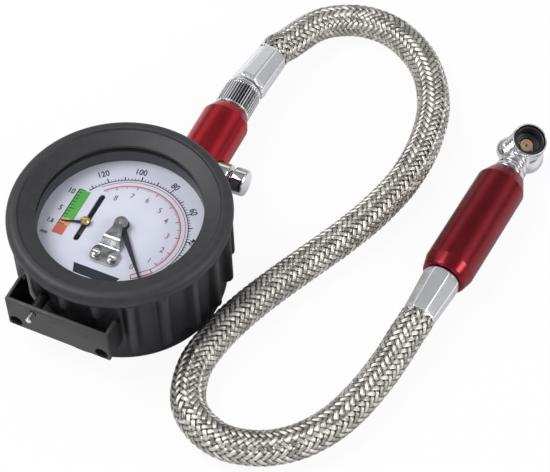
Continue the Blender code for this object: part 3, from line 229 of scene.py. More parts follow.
RED = grained("anodised_red", (0.36, 0.014, 0.024), (0.44, 0.02, 0.03), 0.25, 0.8, 700, 0.000003)
DARK_RED = grained("handle_red", (0.19, 0.011, 0.018), (0.24, 0.015, 0.023), 0.25, 0.8, 700, 0.000003)
CORE_BRASS = grained("core_brass", (0.62, 0.42, 0.24), (0.74, 0.54, 0.34), 0.35, 0.35, 2400, 0.00003)
BRASS = grained("brass", (0.60, 0.42, 0.17), (0.68, 0.49, 0.21), 0.28, 1.0, 1400, 0.00002)
AGED_BRASS = grained("aged_brass", (0.05, 0.04, 0.025), (0.09, 0.07, 0.045), 0.5, 0.8, 1400, 0.00002)
BRONZE = grained("bronze", (0.45, 0.27, 0.12), (0.53, 0.33, 0.16), 0.35, 1.0, 1400, 0.00002)
STEEL = grained("steel", (0.50, 0.50, 0.51), (0.60, 0.60, 0.61), 0.3, 1.0, 1400, 0.00002)

RIBS, RIB_PITCH, RIB_SHIFT = 20, 18, -4
BOOT_SIDE_RADIUS = 36.0
# Heights over which the painted rib light and shade fade out, toward the lip and toward the foot.
SHADE_TOP = (34.8, 32.5)
SHADE_FOOT = (3.0, 9.0)
# Painted light across each rib's pitch: a painted highlight on the rib and painted shade on its flanks, 1
# being the rubber's own colour.
RIB_PAINTED_LIGHT_STOPS = ((0.0, 1.1), (0.22, 0.95), (0.30, 0.35), (0.40, 0.38), (0.44, 1.4), (0.56, 1.45), (0.62, 0.7),
             (0.72, 0.95))
PAINTED_LIGHT_PEAK = 1.5


def make_boot_rubber():
    """Matt rubber, with a painted highlight on the ribs and painted shade in the corners beside them."""
    material, tree, shader = new_material("rubber", (0.024, 0.024, 0.028), 0.5)
    x, y, z = coordinates(tree)
    turn = maths(tree, "MULTIPLY", maths(tree, "ARCTAN2", y, x), RIBS / math.tau)
    shift = RIBS - RIB_SHIFT / RIB_PITCH + 0.5
    place_in_pitch = maths(tree, "FRACT", maths(tree, "ADD", turn, shift))
    # Painted highlight on the ribs and painted shade beside them, repeating round the boot with the ribs.
    rib_painted_light = colour_ramp(tree, place_in_pitch, [(at, [level / PAINTED_LIGHT_PEAK] * 3) for at, level in RIB_PAINTED_LIGHT_STOPS])
    outside = maths(tree, "GREATER_THAN", axis_distance(tree, x, y), BOOT_SIDE_RADIUS * MM)
    below, above = (mapped(tree, z, [end * MM for end in ends]) for ends in (SHADE_TOP, SHADE_FOOT))
    broad, fine = noise_node(tree, 300, 5), noise_node(tree, 2600, 3)
    plain = ramp(tree, broad.outputs["Fac"], (0.021, 0.021, 0.025), (0.030, 0.030, 0.035))
    shaded = tree.nodes.new("ShaderNodeVectorMath")
    shaded.operation = "MULTIPLY"
    tree.links.new(plain, shaded.inputs[0])
    tree.links.new(rib_painted_light, shaded.inputs[1])
    lit = tree.nodes.new("ShaderNodeVectorMath")
    lit.operation = "SCALE"
    lit.inputs["Scale"].default_value = PAINTED_LIGHT_PEAK
    tree.links.new(shaded.outputs["Vector"], lit.inputs[0])
    share = product(tree, below, above, outside)
    tree.links.new(mixed(tree, share, plain, lit.outputs["Vector"]), shader.inputs["Base Color"])
    roughen(tree, shader, fine, 0.44, 0.58, 0.00006)
    return material


SEAL = grained("seal_rubber", (0.012, 0.013, 0.016), (0.022, 0.023, 0.027), 0.4, 0.0, 1800, 0.00004)
# Black rubber of the hose under the braid, made near black so that it also serves as painted shade in the
# gaps between the strands.
CORE = grained("hose_core", (0.008, 0.008, 0.008), (0.016, 0.016, 0.016), 0.7, 0.0, 1500, 0.00004, gloss=0.1)

TRAY_FRONT_Y, TRAY_RIM_Z = -42.3, 27.7


def make_tray_plastic():
    """Satin plastic, with painted shade inside the tray where little light gets in."""
    material, tree, shader = new_material("plastic", (0.03, 0.03, 0.03), 0.45)
    _, y, z = coordinates(tree)
    behind = maths(tree, "GREATER_THAN", y, TRAY_FRONT_Y * MM)
    under = maths(tree, "LESS_THAN", z, TRAY_RIM_Z * MM)
    broad, fine = noise_node(tree, 220, 5), noise_node(tree, 1800, 3)
    plain = ramp(tree, broad.outputs["Fac"], (0.030, 0.028, 0.030), (0.042, 0.040, 0.042))
    # Painted shade for the inside of the tray, behind its front wall and below its rim.
    dark = ramp(tree, broad.outputs["Fac"], (0.006, 0.006, 0.007), (0.011, 0.010, 0.012))
    inside = product(tree, behind, under)
    tree.links.new(mixed(tree, inside, plain, dark), shader.inputs["Base Color"])
    roughen(tree, shader, fine, 0.38, 0.54, 0.00004)
    return material


def make_lens_material():
    material, tree, shader = new_material("lens", (0.3, 0.31, 0.33), 0.03)
    shader.inputs["Alpha"].default_value = 0.03
    roughen(tree, shader, noise_node(tree, 40, 2), 0.02, 0.05)
    return material


def dimmed(tree, value, start, floor):
    """One in the middle of each unit of a value, falling to a floor at its two ends."""
    off = maths(tree, "ABSOLUTE", maths(tree, "SUBTRACT", maths(tree, "FRACT", value), 0.5))
    return mapped(tree, off, (start, 0.5), (1.0, floor))


WIRES = 4


def make_wire_material():
    """Flat bundles of fine wire, each length on top a little brighter or darker than the next, with painted
    shade along each strand's edges and where it passes under the crossing strands.
    """
    material, tree, shader = new_material("braid_wire", (0.6, 0.6, 0.6), 0.3, 1.0)
    uv = tree.nodes.new("ShaderNodeUVMap")
    split = tree.nodes.new("ShaderNodeSeparateXYZ")
    tree.links.new(uv.outputs["UV"], split.inputs["Vector"])
    across, along = split.outputs["X"], split.outputs["Y"]
    wave = maths(tree, "COSINE", maths(tree, "MULTIPLY", across, math.tau * WIRES))
    bump(tree, shader, wave, 0.00005, 0.7)
    cell = tree.nodes.new("ShaderNodeCombineXYZ")
    tree.links.new(maths(tree, "FLOOR", across), cell.inputs["X"])
    tree.links.new(maths(tree, "FLOOR", along), cell.inputs["Y"])
    chance = tree.nodes.new("ShaderNodeTexWhiteNoise")
    chance.noise_dimensions = "2D"
    tree.links.new(cell.outputs["Vector"], chance.inputs["Vector"])
    level = span(tree, chance.outputs["Value"], 0.42, 1.0)
    # Painted shade along each strand's edges and where it passes between over and under the crossing strands.
    level = product(tree, level, dimmed(tree, across, 0.34, 0.34), dimmed(tree, along, 0.4, 0.3))
    colour = ramp(tree, level, (0.02, 0.02, 0.018), (0.86, 0.83, 0.76), (0.0, 0.95))
    tree.links.new(colour, shader.inputs["Base Color"])
    tree.links.new(span(tree, chance.outputs["Value"], 0.24, 0.38), shader.inputs["Roughness"])
    return material


RUBBER = make_boot_rubber()
PLASTIC = make_tray_plastic()
LENS = make_lens_material()
WIRE = make_wire_material()

# Pieces

def add_piece(name, mesh, material, body, replaces=(), matrix=None, angle=32):
    mesh.validate()
    mesh.shade_smooth()
    mesh.set_sharp_from_angle(angle=math.radians(angle))
    mesh.materials.clear()
    mesh.materials.append(material)
    piece = add_object(name, mesh)
    if matrix is not None:
        mesh.transform(matrix)
    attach(piece, body)
    if replaces:
        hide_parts(*replaces)
    return piece


def body_of(node):
    for body, nodes in frame["record"]["behaviour"]["bodies"].items():
        if node in nodes:
            return body
    raise KeyError(node)


def slot_of(node):
    for entry in frame["record"]["subparts"]:
        if entry["node"] == node:
            return entry["material_slot"]
    raise KeyError(node)


def dress(node, mesh, material, matrix=None, angle=32):
    """A piece in the place of a node, on its body."""
    body, slot = body_of(node), slot_of(node)
    return add_piece(f"{node}_piece", mesh, material, body, (node,), matrix, angle)


def bevel_edges(piece, width, angle):
    modifier = piece.modifiers.new("Edges", "BEVEL")
    modifier.width = width * MM
    modifier.segments = 3
    modifier.limit_method = "ANGLE"
    modifier.angle_limit = math.radians(angle)
    modifier.harden_normals = True


def smooth_copy(node, material, bevel):
    """A welded copy of a node, its curved faces shaded smooth and its edges softened."""
    mesh = bpy.data.meshes.new(f"{node}_piece")
    shape = bmesh.new()
    shape.from_mesh(frame["nodes"][node].data)
    bmesh.ops.remove_doubles(shape, verts=shape.verts, dist=2e-6)
    bmesh.ops.dissolve_limit(
        shape, angle_limit=math.radians(0.5), verts=shape.verts, edges=shape.edges
    )
    shape.to_mesh(mesh)
    shape.free()
    if "custom_normal" in mesh.attributes:
        mesh.attributes.remove(mesh.attributes["custom_normal"])
    piece = dress(node, mesh, material, frame["nodes"][node].matrix_world.copy())
    if bevel:
        bevel_edges(piece, bevel, 35)


def grid_mesh(name, rings, closed):
    """A surface through rings of points; closed joins the last ring to the first."""
    count, around = len(rings), len(rings[0])
    verts = [point for ring in rings for point in ring]
    faces = []
    for row in range(count if closed else count - 1):
        low, high = row * around, (row + 1) % count * around
        for col in range(around):
            after = (col + 1) % around
            faces.append((low + col, high + col, high + after, low + after))
    if not closed:
        faces.append(tuple(range(around)))
        faces.append(tuple(range(len(verts) - 1, len(verts) - around - 1, -1)))
    mesh = bpy.data.meshes.new(name)
    mesh.from_pydata([(x * MM, y * MM, z * MM) for x, y, z in verts], [], faces)
    return mesh


def lathe_mesh(name, profile, steps=96, closed=False, radius_at=None):
    """A turned piece, its profile running down the outer side; radius_at shapes it by angle."""
    turns = [math.tau * step / steps for step in range(steps)]
    rings = []
    for radius, height in profile:
        ring = []
        for turn in turns:
            r = radius_at(radius, height, turn) if radius_at else radius
            ring.append((r * math.cos(turn), r * math.sin(turn), height))
        rings.append(ring)
    return grid_mesh(name, rings, closed)


def soften(profile, radius, closed=False, count=4):
    """The profile with each sharp corner rounded by up to a radius."""
    points = [Vector(point) for point in profile]
    result = []
    for index, here in enumerate(points):
        if not closed and index in (0, len(points) - 1):
            result.append(tuple(here))
            continue
        back = points[index - 1] - here
        ahead = points[(index + 1) % len(points)] - here
        half = back.angle(ahead) / 2
        if half > math.radians(86):
            result.append(tuple(here))
            continue
        reach = min(radius / math.tan(half), back.length * 0.45, ahead.length * 0.45)
        start, end = here + back.normalized() * reach, here + ahead.normalized() * reach
        for step in range(count + 1):
            t = step / count
            result.append(tuple((1 - t) ** 2 * start + 2 * t * (1 - t) * here + t * t * end))
    return result


def turned(node, profile, material, matrix, steps=96, closed=False, soft=0.15):
    """A fine turned piece in the place of a node."""
    mesh = lathe_mesh(f"{node}_piece", soften(profile, soft, closed), steps, closed)
    return dress(node, mesh, material, matrix, 40)


def final_mesh(holder):
    """The object's mesh as its modifiers or its curve leave it."""
    bpy.context.view_layer.update()
    graph = bpy.context.evaluated_depsgraph_get()
    return bpy.data.meshes.new_from_object(holder.evaluated_get(graph))


def cut(mesh, *cutters):
    """The mesh with the cutters taken out of it."""
    holder = add_object("cut", mesh)
    helpers = []
    for cutter in cutters:
        helper = add_object("cutter", cutter)
        helpers.append(helper)
        boolean = holder.modifiers.new("Cut", "BOOLEAN")
        boolean.operation = "DIFFERENCE"
        boolean.object = helper
    result = final_mesh(holder)
    for piece in (holder, *helpers):
        bpy.data.objects.remove(piece)
    return result


def rod_mesh(radius, low, high, matrix, steps=64):
    mesh = lathe_mesh("rod", [(radius, high), (radius, low)], steps)
    mesh.transform(matrix)
    return mesh


def box_mesh(low, high):
    shape = bmesh.new()
    bmesh.ops.create_cube(shape, size=1.0)
    bmesh.ops.scale(shape, vec=[(b - a) * MM for a, b in zip(low, high)], verts=shape.verts)
    middle = [(a + b) / 2 * MM for a, b in zip(low, high)]
    bmesh.ops.translate(shape, vec=middle, verts=shape.verts)
    mesh = bpy.data.meshes.new("box")
    shape.to_mesh(mesh)
    shape.free()
    return mesh


def aim(at, along, side=(0, 0, 1)):
    z_axis = Vector(along).normalized()
    y_axis = z_axis.cross(Vector(side)).normalized()
    x_axis = y_axis.cross(z_axis)
    turn = Matrix((x_axis, y_axis, z_axis)).transposed().to_4x4()
    return Matrix.Translation(Vector(at) * MM) @ turn


# Places of the pieces that don't lie along the dial's own axes

STEM_X, STEM_Z = 5.8, 12.0
VALVE_Y = 46.9
HANDLE_AT = Vector((107.3, 38.4, 9.6))
HANDLE_TURN = math.radians(4.6)
HANDLE_WAY = Vector((math.sin(HANDLE_TURN), math.cos(HANDLE_TURN), 0))
HANDLE = aim(HANDLE_AT, HANDLE_WAY)
STEM = aim((STEM_X, 0, STEM_Z), (0, 1, 0))
VALVE = aim((STEM_X, VALVE_Y, STEM_Z), (1, 0, 0))
VALVE_IN_STEM = STEM.inverted() @ VALVE
PIN = aim((-12.6, 0, 24.8), (0, 1, 0))

# Hose: its route as the solid follows it, and the woven wire over it

FERRULE_LENGTH, GAP = 19.0, 0.3
TILT = math.radians(6.3)
FERRULE_WAY = Vector((math.sin(TILT), math.cos(TILT), 0))
FERRULE_AT = Vector((STEM_X + 0.4, 87.9 + GAP + 6.9 * math.sin(TILT), STEM_Z))
FAR_WAY = -HANDLE_WAY
FAR_AT = HANDLE_AT + FAR_WAY * GAP
HOSE_ROUTE = [
    (10.5, 116.5, 10.6), (17.4, 133.3, 8.4), (31.0, 142.4, 6.9), (47.1, 141.3, 6.5),
    (62.6, 130.7, 6.5), (73.0, 113.6, 6.5), (77.0, 94.5, 6.5), (76.6, 76.0, 6.5),
    (72.7, 59.0, 6.5), (67.0, 43.5, 6.5), (60.4, 29.0, 6.5), (53.8, 14.7, 6.5),
    (47.9, 0.3, 6.5), (43.5, -14.7, 6.5), (42.1, -30.7, 6.5), (47.9, -45.7, 6.5),
    (61.3, -52.9, 6.5), (75.4, -50.9, 6.5), (87.0, -43.2, 6.5), (95.2, -31.5, 6.5),
    (100.1, -17.4, 6.5), (103.0, -2.3, 6.9), (104.7, 10.5, 8.8),
]


def smooth_route(points, spacing):
    """Evenly spaced points on a smooth curve through the ones given."""
    knots = [Vector(point) for point in points]
    knots = [2 * knots[0] - knots[1]] + knots + [2 * knots[-1] - knots[-2]]
    fine = []
    for before, start, end, after in zip(knots, knots[1:], knots[2:], knots[3:]):
        for step in range(40):
            t = step / 40
            pull = (end - before, 2 * before - 5 * start + 4 * end - after)
            bend = 3 * start - before - 3 * end + after
            fine.append(start + 0.5 * t * (pull[0] + t * (pull[1] + t * bend)))
    fine.append(knots[-2])
    fine = np.array([tuple(point) for point in fine])
    reach = np.concatenate([[0], np.cumsum(np.linalg.norm(np.diff(fine, axis=0), axis=1))])
    stations = np.linspace(0, reach[-1], max(2, round(reach[-1] / spacing)) + 1)
    even = np.stack([np.interp(stations, reach, fine[:, axis]) for axis in range(3)], axis=1)
    return even, reach[-1]


def hose_line(spacing):
    near, near_exit = (FERRULE_AT + FERRULE_WAY * (FERRULE_LENGTH + d) for d in (GAP, 3.5))
    far, far_exit = (FAR_AT + FAR_WAY * (FERRULE_LENGTH + d) for d in (GAP, 3.5))
    return smooth_route([near, near_exit, *HOSE_ROUTE, far_exit, far], spacing)


def frames_along(points):
    """Tangents and two side directions that don't twist along a line."""
    tangents = np.gradient(points, axis=0)
    tangents /= np.linalg.norm(tangents, axis=1)[:, None]
    side = np.cross(tangents[0], (0, 0, 1.0))
    side /= np.linalg.norm(side)
    sides = []
    for tangent in tangents:
        side = side - tangent * side.dot(tangent)
        side /= np.linalg.norm(side)
        sides.append(side)
    sides = np.array(sides)
    return tangents, sides, np.cross(tangents, sides)


def tube_mesh(name, points, radius, around):
    _, sides, others = frames_along(points)
    turns = np.arange(around) * math.tau / around
    ring = np.cos(turns)[None, :, None] * sides[:, None, :]
    ring = ring + np.sin(turns)[None, :, None] * others[:, None, :]
    verts = (points[:, None, :] + radius * ring).reshape(-1, 3) * MM
    faces = []
    for row in range(len(points) - 1):
        for col in range(around):
            after = (col + 1) % around
            low, high = row * around, (row + 1) * around
            faces.append((low + col, low + after, high + after, high + col))
    faces.append(tuple(range(around - 1, -1, -1)))
    faces.append(tuple(range((len(points) - 1) * around, len(points) * around)))
    mesh = bpy.data.meshes.new(name)
    mesh.from_pydata(verts.tolist(), [], faces)
    return mesh


STRANDS = 14
BRAID_RADIUS = 5.78
BRAID_WAVE = 0.25
STRAND_WIDTH = 1.58
STRAND_RISE = 0.25
STEPS_PER_PERIOD = 11
STRAND_SECTION = [(-0.5, -0.12), (-0.4, 0.07), (-0.2, 0.2), (0.0, STRAND_RISE), (0.2, 0.2), (0.4, 0.07),
                  (0.5, -0.12), (0.0, -0.22)]
PLACES_ACROSS = [0.01, 0.1, 0.3, 0.5, 0.7, 0.9, 0.99, 0.5]
CORE_SIZE = 5.5


def make_braid(name, direction, points):
    """All the flat strands that wind one way, over two and under two of the others."""
    line_length = np.linalg.norm(np.diff(points, axis=0), axis=1).sum()
    tangents, sides, others = frames_along(points)
    stations = np.linspace(0, line_length, len(points))
    turn_per_mm = 1 / BRAID_RADIUS
    count = int(line_length * turn_per_mm / (4 * math.pi / STRANDS) * STEPS_PER_PERIOD)
    s = np.linspace(0, line_length, count + 1)
    centre, along, side, other = (
        np.stack([np.interp(s, stations, values[:, k]) for k in range(3)], axis=1)
        for values in (points, tangents, sides, others)
    )
    t = s * turn_per_mm
    size = len(STRAND_SECTION)
    verts, faces, uvs = [], [], []
    for strand in range(STRANDS):
        theta = math.tau * strand / STRANDS + direction * t
        phase = (2 * strand + direction * t * STRANDS / math.pi - 0.5) * math.pi / 2
        height = direction * np.clip(1.7 * np.cos(phase), -1, 1)
        lengths = (phase / math.pi + 300.5 + 40 * direction).tolist()
        radius = BRAID_RADIUS + BRAID_WAVE * height
        out = np.cos(theta)[:, None] * side + np.sin(theta)[:, None] * other
        spin = -np.sin(theta)[:, None] * side + np.cos(theta)[:, None] * other
        across = spin - direction * along
        across /= np.linalg.norm(across, axis=1)[:, None]
        start = len(verts)
        for row in range(count + 1):
            base = centre[row] + out[row] * radius[row]
            for shift, rise in STRAND_SECTION:
                verts.append(base + across[row] * (shift * STRAND_WIDTH) + out[row] * rise)
        for row in range(count):
            for col in range(size):
                after = (col + 1) % size
                low, high = start + row * size, start + (row + 1) * size
                quad = (low + col, high + col, high + after, low + after)
                faces.append(quad if direction > 0 else quad[::-1])
                u0, u1 = PLACES_ACROSS[col] + strand, PLACES_ACROSS[after] + strand
                v0, v1 = lengths[row], lengths[row + 1]
                corner = [(u0, v0), (u0, v1), (u1, v1), (u1, v0)]
                uvs.extend(corner if direction > 0 else corner[::-1])
        ends = (list(range(start, start + size)), list(range(len(verts) - size, len(verts))))
        for cap in (ends[0], ends[1][::-1]):
            faces.append(cap if direction > 0 else cap[::-1])
            uvs.extend([(strand + 0.5, 0.5)] * size)
    mesh = bpy.data.meshes.new(name)
    mesh.from_pydata((np.array(verts) * MM).tolist(), [], faces)
    layer = mesh.uv_layers.new(name="strand")
    layer.data.foreach_set("uv", np.array(uvs, np.float32).ravel())
    return add_piece(name, mesh, WIRE, "gauge", (), None, 60)


# Ferrules and handle

FERRULE_RADIUS, FERRULE_TIP_RADIUS = 6.9, 5.95


def ferrule_radius(radius, height, turn):
    """Pressed to eight flats with rounded corners, but for the very end at the collar."""
    pressed = min(1.0, max(0.0, (height - 0.3) / 0.5))
    pressed = pressed * pressed * (3 - 2 * pressed)
    off = (turn + math.pi / 8) % (math.pi / 4) - math.pi / 8
    flat = radius * 0.968 / math.cos(off)
    corner = radius * 1.032
    blend = 0.0035 * radius
    pressed_radius = -math.log(math.exp(-flat / blend) + math.exp(-corner / blend)) * blend
    return radius + (pressed_radius - radius) * pressed


def make_ferrule(node, matrix):
    profile = [(0.01, FERRULE_LENGTH)]
    for radius, height in ((FERRULE_TIP_RADIUS - 0.5, 0.0), (FERRULE_TIP_RADIUS - 0.12, 0.12),
                           (FERRULE_TIP_RADIUS, 0.45)):
        profile.append((radius, FERRULE_LENGTH - height))
    for step in range(1, 35):
        height = FERRULE_LENGTH - 0.45 - step * 0.484
        share = (height - 2.0) / (FERRULE_LENGTH - 2.0)
        radius = FERRULE_RADIUS + (FERRULE_TIP_RADIUS - FERRULE_RADIUS) * max(0, share)
        profile.append((radius, height))
    collar = [(6.9, 1.9), (6.9, 1.4), (6.9, 0.9), (6.85, 0.5), (6.7, 0.2), (6.45, 0.04), (6.2, 0.0)]
    profile += collar + [(2.6, 0.0), (2.6, -5.0), (0.01, -5.0)]
    mesh = lathe_mesh(f"{node}_piece", profile, 160, False, ferrule_radius)
    return dress(node, mesh, ALUMINIUM, matrix, 38)


def make_handle():
    profile = [(2.2, 45.9), (3.6, 45.9), (3.6, 52.2), (6.9, 52.2), (9.4, 46.8), (9.4, 5.0), (8.3, 0.7),
               (7.9, 0.0), (2.9, 0.0), (2.9, 5.6), (2.2, 5.6)]
    return turned("valve_handle", profile, DARK_RED, HANDLE, 144, True, 0.5)


def make_hose():
    points, length = hose_line(2.0)
    core = tube_mesh("braided_hose_piece", points, CORE_SIZE, 32)
    core = dress("braided_hose", core, CORE, None, 60)
    braid_points, _ = hose_line(1.0)
    strands = [make_braid("braid_right", 1, braid_points), make_braid("braid_left", -1, braid_points)]
    far = make_ferrule("hose_ferrule_chuck", aim(FAR_AT, FAR_WAY))
    on_it = [*strands, far, make_handle()]


# Print on the dial

PRINT_LOW = 28.61
PRINT = 0.04


def outline_mesh(name, outlines, low, high):
    """Flat prisms, one for each convex outline, in one mesh."""
    verts, faces = [], []
    for outline in outlines:
        start, count = len(verts), len(outline)
        verts += [(x * MM, y * MM, high * MM) for x, y in outline]
        verts += [(x * MM, y * MM, low * MM) for x, y in outline]
        faces.append(tuple(range(start, start + count)))
        faces.append(tuple(range(start + 2 * count - 1, start + count - 1, -1)))
        for index in range(count):
            after = (index + 1) % count
            faces.append((start + index, start + count + index, start + count + after, start + after))
    mesh = bpy.data.meshes.new(name)
    mesh.from_pydata(verts, [], faces)
    return mesh


def polar(radius, degrees, centre=(0.0, 0.0)):
    angle = math.radians(degrees)
    return centre[0] + radius * math.cos(angle), centre[1] + radius * math.sin(angle)


def bar(start, end, width):
    (x0, y0), (x1, y1) = start, end
    length = math.hypot(x1 - x0, y1 - y0)
    ox, oy = -(y1 - y0) / length * width / 2, (x1 - x0) / length * width / 2
    return [(x0 - ox, y0 - oy), (x1 - ox, y1 - oy), (x1 + ox, y1 + oy), (x0 + ox, y0 + oy)]


def arc_bars(radius, start, end, width):
    """Short bars, each of about two degrees, that make up a printed arc."""
    count = max(1, round(abs(end - start) / 2.0))
    bars = []
    for index in range(count):
        a, b = (start + (end - start) * k / count for k in (index, index + 1))
        inner, outer = radius - width / 2, radius + width / 2
        corners = ((inner, a), (outer, a), (outer, b), (inner, b))
        bars.append([polar(r, angle, ARC_CENTRE) for r, angle in corners])
    return bars


def text_mesh(body, size, at, turn, narrow=1.0, weight=0.06):
    curve = bpy.data.curves.new("print", "FONT")
    curve.body = body
    curve.size = size * MM
    curve.align_x = "CENTER"
    curve.align_y = "CENTER"
    curve.extrude = PRINT / 2 * MM
    curve.offset = weight * MM
    curve.resolution_u = 3
    holder = add_object("print", curve)
    mesh = final_mesh(holder)
    bpy.data.objects.remove(holder)
    level = (PRINT_LOW + PRINT / 2) * MM
    place = Matrix.Translation((at[0] * MM, at[1] * MM, level))
    turned_by = Matrix.Rotation(math.radians(turn), 4, "Z")
    mesh.transform(place @ turned_by @ Matrix.Diagonal((narrow, 1, 1, 1)))
    return mesh


def joined(name, meshes):
    shape = bmesh.new()
    for mesh in meshes:
        shape.from_mesh(mesh)
        bpy.data.meshes.remove(mesh)
    result = bpy.data.meshes.new(name)
    shape.to_mesh(result)
    shape.free()
    return result


ARC_CENTRE = (1.6, -0.7)
PSI_RADIUS, PSI_LABEL_RADIUS = 22.4, 25.8
BAR_INNER, BAR_OUTER, NUMERAL_RADIUS = 19.7, 21.4, 15.4
PSI_ZERO, PSI_STEP = -50.5, 1.522
BAR_END = 140
BAR_ANGLES = [-50.5, -28, -8.6, 13, 34, 56, 79, 103, 126]
NUMERAL_NUDGES = [(0.1, -1.1), (0.7, -0.8), (1.2, 0.1), (0.4, 0.5), (-0.8, 1.1), (-0.7, 0.2), (-1.1, 0.1),
                  (-0.6, -0.3), (0, -0.8)]


def add_print(name, meshes, material):
    mesh = joined(name, meshes)
    add_piece(name, mesh, material, "gauge", (), None, 20)


def outward(outline):
    """The outline turned so that its face looks up."""
    area = sum(a[0] * b[1] - b[0] * a[1] for a, b in zip(outline, outline[1:] + outline[:1]))
    return outline if area > 0 else outline[::-1]


def flat(name, outlines, low=PRINT_LOW):
    return outline_mesh(name, [outward(outline) for outline in outlines], low, low + PRINT)


def make_print():
    psi = arc_bars(PSI_RADIUS, PSI_ZERO, PSI_ZERO + 133 * PSI_STEP, 0.34)
    for value in range(0, 134, 2):
        angle = PSI_ZERO + value * PSI_STEP
        reach = 1.9 if value % 20 == 0 else (1.5 if value % 10 == 0 else 0.9)
        width = 0.42 if value % 10 == 0 else 0.24
        ends = (polar(PSI_RADIUS + out, angle, ARC_CENTRE) for out in (0, reach))
        psi.append(bar(*ends, width))
    labels = []
    for value, angle in ((20, -20.1), (40, 10.4), (60, 40.4), (80, 70), (100, 102), (120, 132.6)):
        at = polar(PSI_LABEL_RADIUS, angle, (0.5, -0.5))
        labels.append(text_mesh(str(value), 3.6, at, angle - 90, 0.84))
    add_print("scale_psi", [flat("ticks", psi), *labels], INK)

    red = arc_bars(BAR_INNER, BAR_ANGLES[0] + 14, BAR_END, 0.24)
    red += arc_bars(BAR_OUTER, BAR_ANGLES[0] - 4, BAR_END, 0.22)
    for low, high in zip(BAR_ANGLES[1:], BAR_ANGLES[2:] + [148]):
        for part in range(10):
            angle = low + (high - low) * part / 10
            if angle > BAR_END:
                break
            reach = 1.6 if part == 0 else (1.2 if part == 5 else 0.8)
            width = 0.36 if part == 0 else 0.22
            ends = (polar(BAR_INNER - inward, angle, ARC_CENTRE) for inward in (0, reach))
            red.append(bar(*ends, width))
    box = ((BAR_INNER, -57.5), (BAR_OUTER, -57.5), (BAR_OUTER, -36.6), (BAR_INNER, -36.6))
    zero = [polar(r, a, ARC_CENTRE) for r, a in box]
    for start, end in zip(zero, zero[1:] + zero[:1]):
        red.append(bar(start, end, 0.32))
    numerals = []
    for value, (angle, nudge) in enumerate(zip(BAR_ANGLES, NUMERAL_NUDGES)):
        at = polar(NUMERAL_RADIUS, angle, (1.1 + nudge[0], -1.0 + nudge[1]))
        numerals.append(text_mesh(str(value), 3.3, at, 0, 0.9, 0.0))
    add_print("scale_bar", [flat("ticks", red)], RED_INK)
    add_print("scale_bar_numerals", numerals, NUMERAL_INK)

    green = [(-21.7, -4.2), (-17.2, -4.2), (-17.2, 9.3), (-21.7, 9.3)]
    amber = [(-21.9, -7.0), (-17.4, -7.0), (-17.4, -4.3), (-21.9, -4.3)]
    orange = [(-22.0, -11.7), (-17.8, -11.7), (-17.8, -7.1), (-22.0, -7.1)]
    add_print("scale_green", [flat("green", [green])], GREEN_INK)
    add_print("scale_amber", [flat("amber", [amber])], AMBER_INK)
    add_print("scale_orange", [flat("orange", [orange])], ORANGE_INK)
    depth = [bar((-21.7, -7.0), (-21.7, 9.3), 0.3)]
    for step in range(12):
        y = -7.0 + 16.3 * step / 11
        reach = 2.4 if step in (0, 5, 11) else 1.5
        depth.append(bar((-21.7, y), (-21.7 + reach, y), 0.26))
    ticks = flat("ticks", depth, PRINT_LOW + PRINT)
    words = [
        text_mesh("10", 3.2, (-24.0, 7.3), 0, 0.85),
        text_mesh("5", 3.2, (-24.0, -1.0), 0, 0.85),
        text_mesh("1.6", 2.8, (-24.8, -7.2), 0, 0.8),
        text_mesh("mm", 2.2, (-24.5, -12.6), 0, 0.8),
    ]
    add_print("scale_depth", [ticks, *words], INK)
    strip = [(-8.4, -20.2), (9.6, -20.2), (8.0, -24.0), (-6.8, -24.0)]
    add_print("dial_strip", [flat("strip", [strip])], STRIP_INK)


# Rubber boot

BOOT_STEPS = 720
RIB_CIRCLE, RIB_RADIUS = 37.1, 2.35
RIB_SOFT = 1.3
WALL_RADIUS = 36.5
LIP_LOW = 35.0
SHORT_FOOT, LONG_FOOT = 27.2, 6.6
FLARE_LOW, FLARE_OUT = 31.2, 2.5
STEM_HOLE_RADIUS, GUIDE_HOLE_RADIUS = 5.8, 2.2
TRAY_WINDOW = ((-17.3, -41.0, 12.7), (11.3, -20.0, 18.3))


def boot_ribs():
    """The angle and the foot height of each rib, those over the tray ending short."""
    ribs = []
    for index in range(RIBS):
        angle = (index * RIB_PITCH + 180 + RIB_SHIFT) % 360 - 180
        x, y = polar(RIB_CIRCLE, angle)
        if y > 0 and abs(x - STEM_X) < 7.9:
            continue
        over_tray = y < 0 and -28.5 < x < 19.5
        ribs.append((angle, SHORT_FOOT if over_tray else LONG_FOOT))
    return ribs


def wall_radii(height, turns, ribs):
    """The wall's radius at each angle, each rib and the lip running into it with a fillet."""
    flare = max(0.0, (height - FLARE_LOW) / 3.8)
    radii = np.full(len(turns), WALL_RADIUS + FLARE_OUT * flare * flare)
    for angle, foot in ribs:
        over = height - foot
        if over <= 0:
            continue
        short = max(0.0, RIB_SOFT - over)
        rib = RIB_RADIUS - RIB_SOFT + math.sqrt(RIB_SOFT**2 - short**2)
        off = (turns - math.radians(angle) + math.pi) % math.tau - math.pi
        inside = rib**2 - (RIB_CIRCLE * np.sin(off)) ** 2
        near = (inside > 0) & (np.abs(off) < 0.3)
        reach = RIB_CIRCLE * np.cos(off[near]) + np.sqrt(inside[near])
        radii[near] = np.maximum(radii[near], reach)
    wide = np.concatenate([radii[-2:], radii, radii[:2]])
    kernel = np.array([1, 2, 3, 2, 1]) / 9
    return np.convolve(wide, kernel, "valid")


